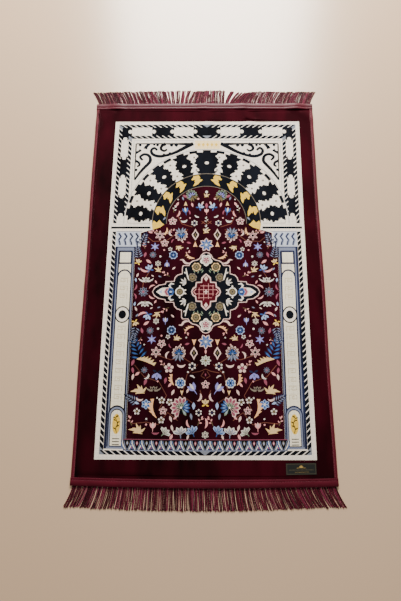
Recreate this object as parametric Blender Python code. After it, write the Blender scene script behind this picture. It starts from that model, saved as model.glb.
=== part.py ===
"""Velvet prayer rug, lying flat: pile cloth, two edge bindings, two end bands, two fringes and a blank label.

Metres, +Z up. The origin is the middle of the cloth's underside, and +Y runs to the arch end of the rug.
Each fringe comb lies on the floor. Its header is sewn under the end band, which is folded over the cloth's end.
"""

import math
import random

import bpy

MM = 0.001

# Overall size, measured over the bindings and the end bands, at the four corners.
RUG_WIDTH = 660 * MM
RUG_LENGTH = 1100 * MM
HALF_WIDTH = RUG_WIDTH / 2
HALF_LENGTH = RUG_LENGTH / 2

# The ends aren't quite straight: their middles stand further out than the corners. The sides wander a little.
ARCH_END_BOW = 2.0 * MM
FOOT_END_BOW = 5.5 * MM
BOW_REACH_POWER = 3
SIDE_WAVE = 0.8 * MM
SIDE_WAVE_TURN = 7.0
SIDE_WAVE_SHIFT = 2.0

# Cloth and tapes.
GAP = 0.3 * MM
CLOTH_THICK = 5.0 * MM
SQUEEZED_THICK = 2.2 * MM
END_SQUEEZED_THICK = 1.5 * MM
BINDING_THICK = 1.1 * MM
BINDING_FLANGE = 9.0 * MM
BINDING_ROUNDING = 0.33 * MM
BAND_THICK = 0.9 * MM
BAND_FLANGE = 20.0 * MM
BAND_GROOVE_AT = 14.0 * MM
BAND_OUTER_RIDGE = 0.9 * MM
BAND_INNER_RIDGE = 0.6 * MM
BAND_TURN_IN = 0.2 * MM
PILE_RAMP = 2.5 * MM
END_RAMP = 5.0 * MM

# The cloth between the tapes.
FREE_HALF_WIDTH = HALF_WIDTH - BINDING_FLANGE - GAP
FREE_HALF_LENGTH = HALF_LENGTH - BAND_FLANGE - GAP

# Fringe.
TASSEL_PITCH = 12.5 * MM
TASSEL_WIDTH = 9.2 * MM
TASSEL_SECTIONS = ((0.5, 2.3 * MM), (1.0, 2.0 * MM))  # share of the length, thickness
TASSEL_SPREAD = 0.04
TASSEL_SWING_POWER = 1.4
LEAN_SCATTER = 0.6 * MM
SHORTEST_TASSEL = 0.97
HEADER_THICK = 1.0 * MM
HEADER_DEPTH = 9.0 * MM
HEADER_INSET = 1.0 * MM
ARCH_TASSEL_LENGTH = 47 * MM
FOOT_TASSEL_LENGTH = 50 * MM
ARCH_END_SEED = 11
FOOT_END_SEED = 23

# Sewn label, on the foot end's border.
LABEL_SIZE = (75 * MM, 27 * MM)
LABEL_THICK = 0.6 * MM
LABEL_AT = (241 * MM, -509 * MM)
LABEL_STAND = 0.4 * MM

# Facets: cells across and along the free half of the cloth, how far the rows crowd to the ends, steps in a fold
# and in a padded ridge.
HALF_COLUMNS = 11
HALF_ROWS = 12
ROW_CROWDING = 1.6
FOLD_STEPS = 4
RIDGE_STEPS = 3

# Soft ridges where the cloth stands a little off the floor, in mm: from x, from y, to x, to y, half width, height.
RIDGES = (
    (252, 548, 334, 488, 11, 3.2),
    (-336, 462, -262, 532, 13, 2.2),
    (96, 556, 140, 488, 12, 1.6),
    (-20, 556, 14, 496, 14, 1.2),
    (334, 150, 296, 128, 15, 1.6),
    (-336, -24, -290, -40, 16, 1.4),
)

# How far the tips of the tassels lean to +X, by where the tassel is sewn on: (x, lean), in mm.
ARCH_END_LEAN = (
    (-330, -20), (-270, -20), (-200, -17), (-140, -13), (-100, -9), (-75, 3), (-40, 16), (-10, 10),
    (25, 2), (55, 1), (75, 26), (105, 27), (140, 20), (180, 17), (215, 22), (255, 20), (290, 17), (330, 21),
)
FOOT_END_LEAN = (
    (-330, -19), (-290, -19), (-250, -15), (-210, -9), (-160, -4), (-110, -1), (-60, 1), (0, 2),
    (50, 5), (100, 9), (150, 15), (200, 20), (250, 23), (290, 23), (330, 21),
)


def smoothstep(t):
    t = min(1.0, max(0.0, t))
    return t * t * (3 - 2 * t)


def lift(x, y):
    """How far the cloth stands off the floor at a place in plan. A tape is stiff across, so it lifts as one."""
    x = min(FREE_HALF_WIDTH, max(-FREE_HALF_WIDTH, x))
    y = min(FREE_HALF_LENGTH, max(-FREE_HALF_LENGTH, y))
    height = 0.0
    for x0, y0, x1, y1, half_width, top in RIDGES:
        run = (x1 - x0, y1 - y0)
        length = math.hypot(*run)
        along = ((x / MM - x0) * run[0] + (y / MM - y0) * run[1]) / length
        across = ((x / MM - x0) * run[1] - (y / MM - y0) * run[0]) / length
        past = max(0.0, -along, along - length)
        height = max(height, top * MM * smoothstep(1 - math.hypot(across, past) / (2 * half_width)))
    return height


def lay(x, y):
    """A place on the true rectangle, moved to where the uneven outline puts it."""
    u = x / HALF_WIDTH
    v = y / HALF_LENGTH
    bow = ARCH_END_BOW if v > 0 else -FOOT_END_BOW
    moved_y = y + bow * (1 - u * u) * abs(v) ** BOW_REACH_POWER
    moved_x = x + SIDE_WAVE * u * math.sin(SIDE_WAVE_TURN * v + SIDE_WAVE_SHIFT * u)
    return moved_x, moved_y


def laid_point(x, y, z):
    """The point of the solid at height z over the rectangle's place (x, y)."""
    px, py = lay(x, y)
    return px, py, z + lift(x, y)


def material(name, colour, roughness):
    made = bpy.data.materials.new(name)
    made.use_nodes = True
    shader = made.node_tree.nodes["Principled BSDF"]
    shader.inputs["Base Color"].default_value = (*colour, 1.0)
    shader.inputs["Roughness"].default_value = roughness
    shader.inputs["Metallic"].default_value = 0.0
    return made


def add_object(name, points, faces, finish):
    mesh = bpy.data.meshes.new(name)
    mesh.from_pydata(points, [], faces)
    mesh.validate()
    mesh.materials.append(finish)
    made = bpy.data.objects.new(name, mesh)
    bpy.context.scene.collection.objects.link(made)
    return made


def sweep(name, sections, finish):
    """A closed solid through a row of outlines, each with the same number of points."""
    count = len(sections[0])
    points = [p for section in sections for p in section]
    faces = []
    for s in range(len(sections) - 1):
        for i in range(count):
            j = (i + 1) % count
            faces.append((s * count + i, s * count + j, (s + 1) * count + j, (s + 1) * count + i))
    last = (len(sections) - 1) * count
    faces.append(tuple(reversed(range(count))))
    faces.append(tuple(last + i for i in range(count)))
    return add_object(name, points, faces, finish)


# ---------------------------------------------------------------- pile cloth
# The velvet body is one sheet. Its pile is pressed thin inside the bindings and the end bands, which wrap it.

BINDING_TOP = 2 * BINDING_THICK + 2 * GAP + SQUEEZED_THICK
BINDING_RADIUS = BINDING_TOP / 2
CLOTH_EDGE = HALF_WIDTH - BINDING_RADIUS
BAND_BOTTOM = HEADER_THICK + GAP
BAND_TOP = BAND_BOTTOM + 2 * BAND_THICK + 2 * GAP + END_SQUEEZED_THICK
BAND_FOLD_RADIUS = (BAND_TOP - BAND_BOTTOM) / 2
CLOTH_END = HALF_LENGTH - BAND_FOLD_RADIUS
SQUEEZED_BOTTOM = BINDING_THICK + GAP
END_SQUEEZED_BOTTOM = BAND_BOTTOM + BAND_THICK + GAP


def cloth_heights(x, y):
    """The cloth's underside and top, where it's wrapped or free."""
    side = smoothstep((abs(x) - FREE_HALF_WIDTH + PILE_RAMP) / PILE_RAMP)
    end = smoothstep((abs(y) - FREE_HALF_LENGTH + END_RAMP) / END_RAMP)
    under = max(side * SQUEEZED_BOTTOM, end * END_SQUEEZED_BOTTOM)
    side_top = CLOTH_THICK - side * (CLOTH_THICK - SQUEEZED_BOTTOM - SQUEEZED_THICK)
    end_top = CLOTH_THICK - end * (CLOTH_THICK - END_SQUEEZED_BOTTOM - END_SQUEEZED_THICK)
    return under, min(side_top, end_top)


def stations(edge, inner, ramp, free_count, crowding):
    """Places along one half of the cloth, closer together towards its end and where its section changes."""
    free_edge = inner - ramp
    free = [free_edge * (1 - (1 - i / free_count) ** crowding) for i in range(free_count + 1)]
    return free + [inner - ramp / 2, inner, edge]


def both_ways(half):
    return [-v for v in reversed(half[1:])] + half


COLUMNS = both_ways(stations(CLOTH_EDGE, FREE_HALF_WIDTH, PILE_RAMP, HALF_COLUMNS, 1.0))
ROWS = both_ways(stations(CLOTH_END, FREE_HALF_LENGTH, END_RAMP, HALF_ROWS, ROW_CROWDING))


def pile_cloth(finish):
    rows = len(ROWS)
    columns = len(COLUMNS)
    points = []
    for level in (0, 1):
        for y in ROWS:
            for x in COLUMNS:
                points.append(laid_point(x, y, cloth_heights(x, y)[level]))
    top = rows * columns
    faces = []
    for r in range(rows - 1):
        for c in range(columns - 1):
            a = r * columns + c
            under = (a, a + columns, a + columns + 1, a + 1)
            faces.append(under)
            faces.append(tuple(top + i for i in reversed(under)))
    rim = list(range(columns))
    rim += [r * columns + columns - 1 for r in range(1, rows)]
    rim += [(rows - 1) * columns + c for c in range(columns - 2, -1, -1)]
    rim += [r * columns for r in range(rows - 2, 0, -1)]
    for i, a in enumerate(rim):
        b = rim[(i + 1) % len(rim)]
        faces.append((a, b, top + b, top + a))
    return add_object("pile_cloth", points, faces, finish)


# ---------------------------------------------------------------- edge bindings
# A tape folded round each long edge, with a rounded fold outside and one flange above and one below the cloth.


def half_circle(centre_s, centre_z, radius, steps):
    """Points round the fold, from the underside to the top, as (distance from the outer edge, height)."""
    turned = [math.pi * i / steps for i in range(steps + 1)]
    return [(centre_s - radius * math.sin(a), centre_z - radius * math.cos(a)) for a in turned]


def binding_outline():
    outside = half_circle(BINDING_RADIUS, BINDING_RADIUS, BINDING_RADIUS, FOLD_STEPS)
    inside = half_circle(BINDING_RADIUS, BINDING_RADIUS, BINDING_RADIUS - BINDING_THICK, FOLD_STEPS)
    outline = [(BINDING_FLANGE, 0.0)]
    outline += outside
    outline += [(BINDING_FLANGE - BINDING_ROUNDING, BINDING_TOP)]
    outline += [(BINDING_FLANGE, BINDING_TOP - BINDING_ROUNDING)]
    outline += [(BINDING_FLANGE, BINDING_TOP - BINDING_THICK)]
    outline += list(reversed(inside))
    outline += [(BINDING_FLANGE, BINDING_THICK)]
    return outline


def binding(name, side, finish):
    sections = []
    for y in [row for row in ROWS if abs(row) < CLOTH_END]:
        outline = [laid_point(side * (HALF_WIDTH - s), y, z) for s, z in binding_outline()]
        sections.append(list(reversed(outline)) if side > 0 else outline)
    return sweep(name, sections, finish)


# ---------------------------------------------------------------- end bands
# A satin tape folded over each end. One line of stitching pulls it down into two padded ridges.


def ridge(start, end, height):
    """Points over one padded ridge, going inwards."""
    made = []
    for i in range(1, RIDGE_STEPS + 1):
        t = i / RIDGE_STEPS
        made.append((start + (end - start) * t, BAND_TOP + height * math.sin(math.pi * t)))
    return made


def band_outline():
    centre = (BAND_TOP + BAND_BOTTOM) / 2
    outside = half_circle(BAND_FOLD_RADIUS, centre, BAND_FOLD_RADIUS, FOLD_STEPS)
    inside = half_circle(BAND_FOLD_RADIUS, centre, BAND_FOLD_RADIUS - BAND_THICK, FOLD_STEPS)
    outline = [(BAND_FLANGE, BAND_BOTTOM)]
    outline += outside
    outline += ridge(BAND_FOLD_RADIUS, BAND_GROOVE_AT, BAND_OUTER_RIDGE)
    outline += ridge(BAND_GROOVE_AT, BAND_FLANGE - BAND_TURN_IN, BAND_INNER_RIDGE)
    outline += [(BAND_FLANGE, BAND_TOP - BAND_THICK)]
    outline += list(reversed(inside))
    outline += [(BAND_FLANGE, BAND_BOTTOM + BAND_THICK)]
    return outline


def end_band(name, end, finish):
    sections = []
    for x in [-HALF_WIDTH, *COLUMNS, HALF_WIDTH]:
        outline = [laid_point(x, end * (HALF_LENGTH - s), z) for s, z in band_outline()]
        sections.append(outline if end > 0 else list(reversed(outline)))
    return sweep(name, sections, finish)


# ---------------------------------------------------------------- fringes
# One comb at each end: a flat header under the band, and a row of tassels that lean as the table says.


def lean_at(table, x):
    """The lean at x, read from the table by straight lines between its rows."""
    for (x0, lean0), (x1, lean1) in zip(table, table[1:]):
        if x <= x1:
            t = min(1.0, max(0.0, (x - x0) / (x1 - x0)))
            return lean0 + t * (lean1 - lean0)
    return table[-1][1]


def tassel_section(root, end, lean, length, share, thick, start_y):
    """The four corners of a tassel's section at a share of its length."""
    drop = math.sqrt(length**2 - lean**2)
    middle = root + lean * share**TASSEL_SWING_POWER
    half = TASSEL_WIDTH / 2 * (1 + TASSEL_SPREAD * share)
    out = start_y + end * drop * share
    left = (middle - half, out)
    right = (middle + half, out)
    return [(*left, 0.0), (*right, 0.0), (*right, thick), (*left, thick)]


def fringe(name, end, table, length, seed, finish):
    draw = random.Random(seed)
    count = int(RUG_WIDTH / TASSEL_PITCH)
    first = -(count - 1) / 2 * TASSEL_PITCH
    points = []
    faces = []

    def place(x, inset, z):
        px, py = lay(x, end * (HALF_LENGTH - inset))
        points.append((px, py, z))
        return len(points) - 1

    def header_section(x):
        back = HEADER_INSET + HEADER_DEPTH
        return [
            place(x, HEADER_INSET, 0.0), place(x, HEADER_INSET, HEADER_THICK),
            place(x, back, HEADER_THICK), place(x, back, 0.0),
        ]

    def join(a, b, open_front):
        """Header faces between two sections: front, top, back, underside."""
        for k in range(4):
            if k == 0 and open_front:
                continue
            n = (k + 1) % 4
            faces.append((a[k], b[k], b[n], a[n]))

    last = None
    for i in range(count):
        root = first + i * TASSEL_PITCH
        half = TASSEL_WIDTH / 2
        left = header_section(root - half)
        right = header_section(root + half)
        if last is None:
            faces.append(tuple(left))
        else:
            join(last, left, False)
        join(left, right, True)
        lean = lean_at(table, root / MM) * MM + draw.uniform(-LEAN_SCATTER, LEAN_SCATTER)
        this_length = length * draw.uniform(SHORTEST_TASSEL, 1.0)
        ring = [left[0], right[0], right[1], left[1]]
        start_y = (points[left[0]][1] + points[right[0]][1]) / 2
        for share, thick in TASSEL_SECTIONS:
            section = [len(points) + k for k in range(4)]
            points += tassel_section(root, end, lean, this_length, share, thick, start_y)
            for k in range(4):
                n = (k + 1) % 4
                faces.append((ring[k], ring[n], section[n], section[k]))
            ring = section
        faces.append(tuple(ring))
        last = right
    faces.append(tuple(reversed(last)))
    if end > 0:
        faces = [tuple(reversed(face)) for face in faces]
    return add_object(name, points, faces, finish)


# ---------------------------------------------------------------- label
# A small woven patch, sewn down flat into the pile. It carries no words.

RECESS = LABEL_THICK + GAP - LABEL_STAND


def box(name, centre, size, bottom, top, finish):
    x, y = centre
    w, d = size[0] / 2, size[1] / 2
    outline = [(x - w, y - d), (x + w, y - d), (x + w, y + d), (x - w, y + d)]
    sections = [[(px, py, z) for px, py in outline] for z in (bottom, top)]
    return sweep(name, sections, finish)


def label(cloth, finish):
    """The patch, and the shallow bed that its stitches press into the pile."""
    bottom = CLOTH_THICK - RECESS + GAP
    made = box("label", LABEL_AT, LABEL_SIZE, bottom, bottom + LABEL_THICK, finish)
    bed_size = tuple(side + 2 * GAP for side in LABEL_SIZE)
    bed = box("label_bed_cutter", LABEL_AT, bed_size, CLOTH_THICK - RECESS, 2 * CLOTH_THICK, finish)
    bed.hide_render = True
    bed.display_type = "WIRE"
    cut = cloth.modifiers.new("label_bed", "BOOLEAN")
    cut.operation = "DIFFERENCE"
    cut.object = bed
    return made


def main():
    for old in list(bpy.data.objects):
        bpy.data.objects.remove(old)
    velvet = material("maroon_velvet", (0.10, 0.008, 0.014), 0.9)
    tape = material("binding_tape", (0.26, 0.035, 0.055), 0.6)
    satin = material("band_satin", (0.30, 0.045, 0.07), 0.5)
    yarn = material("fringe_yarn", (0.16, 0.018, 0.035), 0.7)
    patch = material("label_weave", (0.02, 0.035, 0.03), 0.6)
    cloth = pile_cloth(velvet)
    binding("binding_left", -1, tape)
    binding("binding_right", 1, tape)
    end_band("band_arch_end", 1, satin)
    end_band("band_foot_end", -1, satin)
    fringe("fringe_arch_end", 1, ARCH_END_LEAN, ARCH_TASSEL_LENGTH, ARCH_END_SEED, yarn)
    fringe("fringe_foot_end", -1, FOOT_END_LEAN, FOOT_TASSEL_LENGTH, FOOT_END_SEED, yarn)
    label(cloth, patch)


main()
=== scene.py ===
import math
import random

import bpy
import numpy as np
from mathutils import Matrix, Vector
from mathutils.geometry import delaunay_2d_cdt


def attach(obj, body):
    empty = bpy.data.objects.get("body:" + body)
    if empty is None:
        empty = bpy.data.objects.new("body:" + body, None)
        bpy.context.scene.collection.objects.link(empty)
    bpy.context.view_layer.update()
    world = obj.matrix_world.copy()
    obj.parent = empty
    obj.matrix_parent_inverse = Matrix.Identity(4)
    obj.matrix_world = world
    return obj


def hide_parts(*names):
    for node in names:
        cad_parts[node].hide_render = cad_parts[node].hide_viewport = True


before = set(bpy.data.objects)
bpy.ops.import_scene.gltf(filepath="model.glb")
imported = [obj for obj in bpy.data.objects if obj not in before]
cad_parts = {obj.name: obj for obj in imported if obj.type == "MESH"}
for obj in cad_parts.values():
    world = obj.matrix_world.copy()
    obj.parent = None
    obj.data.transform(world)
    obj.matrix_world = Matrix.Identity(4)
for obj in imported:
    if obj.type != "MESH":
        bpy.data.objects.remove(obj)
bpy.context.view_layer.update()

# ================================================================ pile cloth
# One rectangle of machine-woven velvet with the whole design woven in: a short cut pile on a flat ground
# cloth. It lies by its own weight, with a few low ridges left from folding, and is pressed thin where the
# tapes wrap it. Sizes are in mm, and laid() turns them to metres.

MM = 0.001
RUG_HALF_WIDTH = 330.0
RUG_HALF_LENGTH = 550.0
ARCH_END_BOW = 2.0  # each end bows outwards, most at its middle
FOOT_END_BOW = 5.5
BOW_REACH_POWER = 3
SIDE_WAVE = 0.8  # and the sides waver
SIDE_WAVE_TURN = 7.0
SIDE_WAVE_SHIFT = 2.0
FREE_HALF_WIDTH = 320.7  # the part that no tape covers
FREE_HALF_LENGTH = 529.7
CLOTH_HALF_WIDTH = 327.5  # the cloth itself, inside the tapes
CLOTH_HALF_LENGTH = 548.05
CLOTH_THICK = 5.0
GAP = 0.3  # between one piece and the next
PILE_RAMP = 2.5
END_RAMP = 5.0
SIDE_PRESSED = (1.4, 3.6)  # underside and top of the cloth inside a binding
END_PRESSED = (2.5, 4.0)  # and inside an end band
RIDGES = (  # from x, from y, to x, to y, half width, height
    (252, 548, 334, 488, 11, 3.2),
    (-336, 462, -262, 532, 13, 2.2),
    (96, 556, 140, 488, 12, 1.6),
    (-20, 556, 14, 496, 14, 1.2),
    (334, 150, 296, 128, 15, 1.6),
    (-336, -24, -290, -40, 16, 1.4),
)
LABEL_AT = (240.4, -507.0)
LABEL_HALF = (37.5, 13.5)
LABEL_THICK = 0.6
LABEL_BED = CLOTH_THICK - 0.5


def smoothstep(t):
    t = min(1.0, max(0.0, t))
    return t * t * (3 - 2 * t)


def lift(x, y):
    """How far the cloth stands off the floor. A tape is stiff across, so it lifts as one."""
    x = min(FREE_HALF_WIDTH, max(-FREE_HALF_WIDTH, x))
    y = min(FREE_HALF_LENGTH, max(-FREE_HALF_LENGTH, y))
    height = 0.0
    for x0, y0, x1, y1, half_width, top in RIDGES:
        run = (x1 - x0, y1 - y0)
        length = math.hypot(*run)
        along = ((x - x0) * run[0] + (y - y0) * run[1]) / length
        across = ((x - x0) * run[1] - (y - y0) * run[0]) / length
        past = max(0.0, -along, along - length)
        height = max(height, top * smoothstep(1 - math.hypot(across, past) / (2 * half_width)))
    return height


def laid(x, y, z):
    """The point, in metres, at height z over a place on the true rectangle of the rug."""
    u = x / RUG_HALF_WIDTH
    v = y / RUG_HALF_LENGTH
    bow = ARCH_END_BOW if v > 0 else -FOOT_END_BOW
    moved_x = x + SIDE_WAVE * u * math.sin(SIDE_WAVE_TURN * v + SIDE_WAVE_SHIFT * u)
    moved_y = y + bow * (1 - u * u) * abs(v) ** BOW_REACH_POWER
    return moved_x * MM, moved_y * MM, (z + lift(x, y)) * MM


def pressed(x, y):
    """How far a tape presses the cloth here, from the side and from the end: 0 is free."""
    side = smoothstep((abs(x) - FREE_HALF_WIDTH + PILE_RAMP) / PILE_RAMP)
    end = smoothstep((abs(y) - FREE_HALF_LENGTH + END_RAMP) / END_RAMP)
    return side, end


def in_label_bed(x, y):
    return abs(x - LABEL_AT[0]) < LABEL_HALF[0] + 2 * GAP and abs(y - LABEL_AT[1]) < LABEL_HALF[1] + 2 * GAP


def pile_top(x, y):
    if in_label_bed(x, y):
        return LABEL_BED
    side, end = pressed(x, y)
    return CLOTH_THICK - max(side * (CLOTH_THICK - SIDE_PRESSED[1]), end * (CLOTH_THICK - END_PRESSED[1]))


def cloth_under(x, y):
    side, end = pressed(x, y)
    return max(side * SIDE_PRESSED[0], end * END_PRESSED[0])


# ---- drawing the design: shapes in mm from its own axis, painted one over the other
AXIS = 6.0  # the design sits a little to the right of the cloth's middle line
AXIS_LEAN = 0.006  # and leans a little to the right as it climbs

design = []


def paint(yarn, outline):
    design.append((yarn, [(AXIS + AXIS_LEAN * y + u, y) for u, y in outline]))


def flipped(outline):
    return [(-u, y) for u, y in reversed(outline)]


def paint_both(yarn, outline):
    paint(yarn, outline)
    paint(yarn, flipped(outline))


def rectangle(x0, y0, x1, y1):
    return [(x0, y0), (x1, y0), (x1, y1), (x0, y1)]


def circle(x, y, radius, count=14):
    turns = [2 * math.pi * k / count for k in range(count)]
    return [(x + radius * math.cos(t), y + radius * math.sin(t)) for t in turns]


def turned(outline, degrees):
    c, s = math.cos(math.radians(degrees)), math.sin(math.radians(degrees))
    return [(x * c - y * s, x * s + y * c) for x, y in outline]


def shifted(outline, dx, dy, size=1.0):
    """The outline at another size, and then moved."""
    return [(dx + x * size, dy + y * size) for x, y in outline]


def arc(x, y, radius, start, end, steps):
    """Points on an arc, from one bearing to another. Bearings are degrees from straight up, clockwise."""
    turns = [math.radians(start + (end - start) * k / steps) for k in range(steps + 1)]
    return [(x + radius * math.sin(t), y + radius * math.cos(t)) for t in turns]


def ribbon(spine, widths):
    """The outline of a strip along a spine, with one width for each of its points."""
    left, right = [], []
    for i, (x, y) in enumerate(spine):
        x0, y0 = spine[max(i - 1, 0)]
        x1, y1 = spine[min(i + 1, len(spine) - 1)]
        length = math.hypot(x1 - x0, y1 - y0)
        nx, ny = (y0 - y1) / length * widths[i] / 2, (x1 - x0) / length * widths[i] / 2
        left.append((x + nx, y + ny))
        right.append((x - nx, y - ny))
    return left + right[::-1]


def line(spine, width):
    return ribbon(spine, [width] * len(spine))


# ---- ground, panel and rope borders
PANEL = (277.5, -487.0, 486.0)  # half width, foot, top
OUTER_ROPE = (256.0, 266.0)  # up both sides, from the axis
INNER_ROPE = (225.0, 235.5)
FOOT_ROPE = (-475.0, -464.5)  # and across
TOP_ROPE = (465.0, 475.0)
TOP_INNER_ROPE = (426.5, 437.0)
SPRINGING = 150.0  # where the arch stands on its columns
ACROSS_PITCH = 17.5
ALONG_PITCH = 15.6
ACROSS_STRIPES = (("ink", 0.0, 12.6), ("cream", 13.6, 3.2))  # yarn, where it starts in the pitch, width
ALONG_STRIPES = (("ink", 0.0, 11.2), ("cream", 12.0, 3.0))

for inset in (0.0, PILE_RAMP / 2, PILE_RAMP):
    x, y = FREE_HALF_WIDTH - inset, FREE_HALF_LENGTH - 2 * inset
    paint("maroon", shifted(rectangle(-x, -y, x, y), -AXIS, 0))
for margin in (3 * GAP, GAP):
    x, y = LABEL_HALF[0] + margin, LABEL_HALF[1] + margin
    paint("maroon", shifted(rectangle(-x, -y, x, y), LABEL_AT[0] - AXIS, LABEL_AT[1]))
paint("cream", rectangle(-PANEL[0], PANEL[1], PANEL[0], PANEL[2]))


def rope_stripes(start, stop, pitch, stripes):
    """Each stripe's yarn, and where it begins and ends along the rope."""
    for k in range(int((stop - start) / pitch) + 1):
        for yarn, offset, width in stripes:
            first = start + k * pitch + offset
            if first < stop:
                yield yarn, first, min(first + width, stop)


def rope_across(y0, y1, half_length, lean=14.0):
    """A rope border across the rug: stripes that lean away from the axis, mirrored about it."""
    paint("grey", rectangle(-half_length, y0, half_length, y1))
    for yarn, first, last in rope_stripes(lean, half_length, ACROSS_PITCH, ACROSS_STRIPES):
        paint_both(yarn, [(first, y1), (first - lean, y0), (last - lean, y0), (last, y1)])


def rope_along(x0, x1, y0, y1, lean=10.0):
    """A rope border up both sides, between the heights y0 and y1."""
    paint_both("grey", rectangle(x0, y0, x1, y1))
    for yarn, first, last in rope_stripes(y0 + lean, y1, ALONG_PITCH, ALONG_STRIPES):
        paint_both(yarn, [(x0, first - lean), (x1, first), (x1, last), (x0, last - lean)])


rope_across(*FOOT_ROPE, OUTER_ROPE[1])
rope_across(*TOP_ROPE, OUTER_ROPE[1])
rope_along(*OUTER_ROPE, FOOT_ROPE[1], TOP_ROPE[0])

# ---- cartouche border, at the top and down both sides as far as the springing of the arch
CARTOUCHE_TOP = (437.0, 465.0)
CARTOUCHE_SIDE = (235.5, 256.0)
TOP_CARTOUCHES = ((41.0, 99.0), (166.0, 226.0))
SIDE_CARTOUCHES = ((357.0, 431.0), (231.0, 305.0), (105.0, 182.0))
KNOB = 6.2

x, y0, y1 = CARTOUCHE_SIDE[1], *CARTOUCHE_TOP
paint("ink", rectangle(-x, y0, x, y1))
paint_both("ink", rectangle(CARTOUCHE_SIDE[0], SPRINGING, x, y0 + 2))
rope_across(*TOP_INNER_ROPE, INNER_ROPE[1])
rope_along(*INNER_ROPE, SPRINGING, TOP_INNER_ROPE[0])
for x0, x1 in TOP_CARTOUCHES:
    middle = (CARTOUCHE_TOP[0] + CARTOUCHE_TOP[1]) / 2
    paint_both("cream", rectangle(x0, CARTOUCHE_TOP[0], x1, CARTOUCHE_TOP[1]))
    for x in (x0 - KNOB + 0.8, x1 + KNOB - 0.8):  # a knob at each end
        paint_both("cream", circle(x, middle, KNOB))
for y0, y1 in SIDE_CARTOUCHES:
    middle = (CARTOUCHE_SIDE[0] + CARTOUCHE_SIDE[1]) / 2
    x0, x1 = CARTOUCHE_SIDE
    notched = [(x0, 9), (x0 + 5, 9), (x0 + 5, 5), (x1 - 5, 5), (x1 - 5, 9), (x1, 9)]
    paint_both("cream", [(x, y0 + y) for x, y in notched] + [(x, y1 - y) for x, y in reversed(notched)])
    for y in (y0 + KNOB - 1, y1 - KNOB + 1):
        paint_both("cream", circle(middle, y, KNOB))

# ---- spandrels: scrolls in ink on cream, in a ruled triangle
SPANDREL_CORNER = (212.0, 409.5)
SPANDREL_TIP = (41.0, 410.0)
SPANDREL_FOOT = (211.5, 289.0)
SWELL = 1.8  # the scrolls are this much bolder than their drawn widths


def swept(points, steps=4):
    """A smooth spine through a few points."""
    ends = [points[0]] + list(points) + [points[-1]]
    spine = []
    for (ax, ay), (bx, by), (cx, cy), (dx, dy) in zip(ends, ends[1:], ends[2:], ends[3:]):
        for k in range(steps):
            t = k / steps
            spine.append(tuple(
                0.5 * (2 * b + (c - a) * t + (2 * a - 5 * b + 4 * c - d) * t * t
                       + (3 * b - a - 3 * c + d) * t**3)
                for a, b, c, d in ((ax, bx, cx, dx), (ay, by, cy, dy))))
    return spine + [points[-1]]


def stroke(yarn, points, widths):
    """A brush-like stroke on both sides: its width runs through the given widths from end to end."""
    spine = swept(points)
    run = []
    for k in range(len(spine)):
        at = k / (len(spine) - 1) * (len(widths) - 1)
        i = min(int(at), len(widths) - 2)
        run.append(widths[i] + (widths[i + 1] - widths[i]) * (at - i))
    paint_both(yarn, ribbon(spine, [SWELL * width for width in run]))


paint("cream", rectangle(-INNER_ROPE[0], SPRINGING, INNER_ROPE[0], TOP_INNER_ROPE[0]))
paint_both("grey", line([(219, 420), (219, SPRINGING + 60)], 0.9))
paint_both("grey", line([(40, 420.5), (219, 420.5)], 0.9))
paint_both("ink", ribbon([SPANDREL_FOOT, (212, 340), SPANDREL_CORNER], [2.4, 3.6, 4.2]))
paint_both("ink", ribbon([SPANDREL_TIP, (62, 408), (84, 408.5), (140, 409.5), SPANDREL_CORNER],
                         [3, 9, 6.5, 4.4, 4]))
for spine, widths in (  # two long scrolls, and the short curls between them
    ([SPANDREL_TIP, (66, 396), (92, 381), (118, 371), (142, 367), (161, 374), (166, 387), (157, 395),
      (148, 387)],
     [6.5, 6.5, 5.5, 5.0, 5.6, 5.2, 4.6, 4.4, 3.4]),
    ([SPANDREL_FOOT, (198, 311), (182, 332), (168, 350), (171, 368), (186, 374), (198, 365), (190, 354)],
     [3.0, 4.4, 5.2, 5.4, 5.0, 4.8, 4.4, 3.2]),
    ([(124, 409), (135, 402), (137, 391), (127, 385), (119, 391)], [6.5, 5.0, 4.4, 4.0, 3.0]),
    ([(172, 409), (181, 400), (184, 392)], [4.0, 5.4, 6.4]),
    ([(212, 379), (204, 383), (197, 389)], [5.5, 3.6, 5.2]),
    ([(212, 352), (202, 347), (199, 338), (206, 333)], [5.0, 4.2, 3.8, 3.0]),
):
    stroke("ink", spine, widths)
for yarn, buds in (
    ("ink", ((92, 404, 5.5), (106, 404, 5), (148, 405, 4.5), (158, 407, 4), (200, 405, 4.5), (208, 322, 4.5),
             (110, 377, 4.5), (128, 373, 4.0), (174, 343, 4.0), (188, 327, 3.6))),
    ("cream", ((96, 397, 4.5), (110, 397, 4.2), (150, 398, 3.4))),
):
    for x, y, reach in buds:
        paint_both(yarn, circle(x, y, reach, 9))

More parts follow.
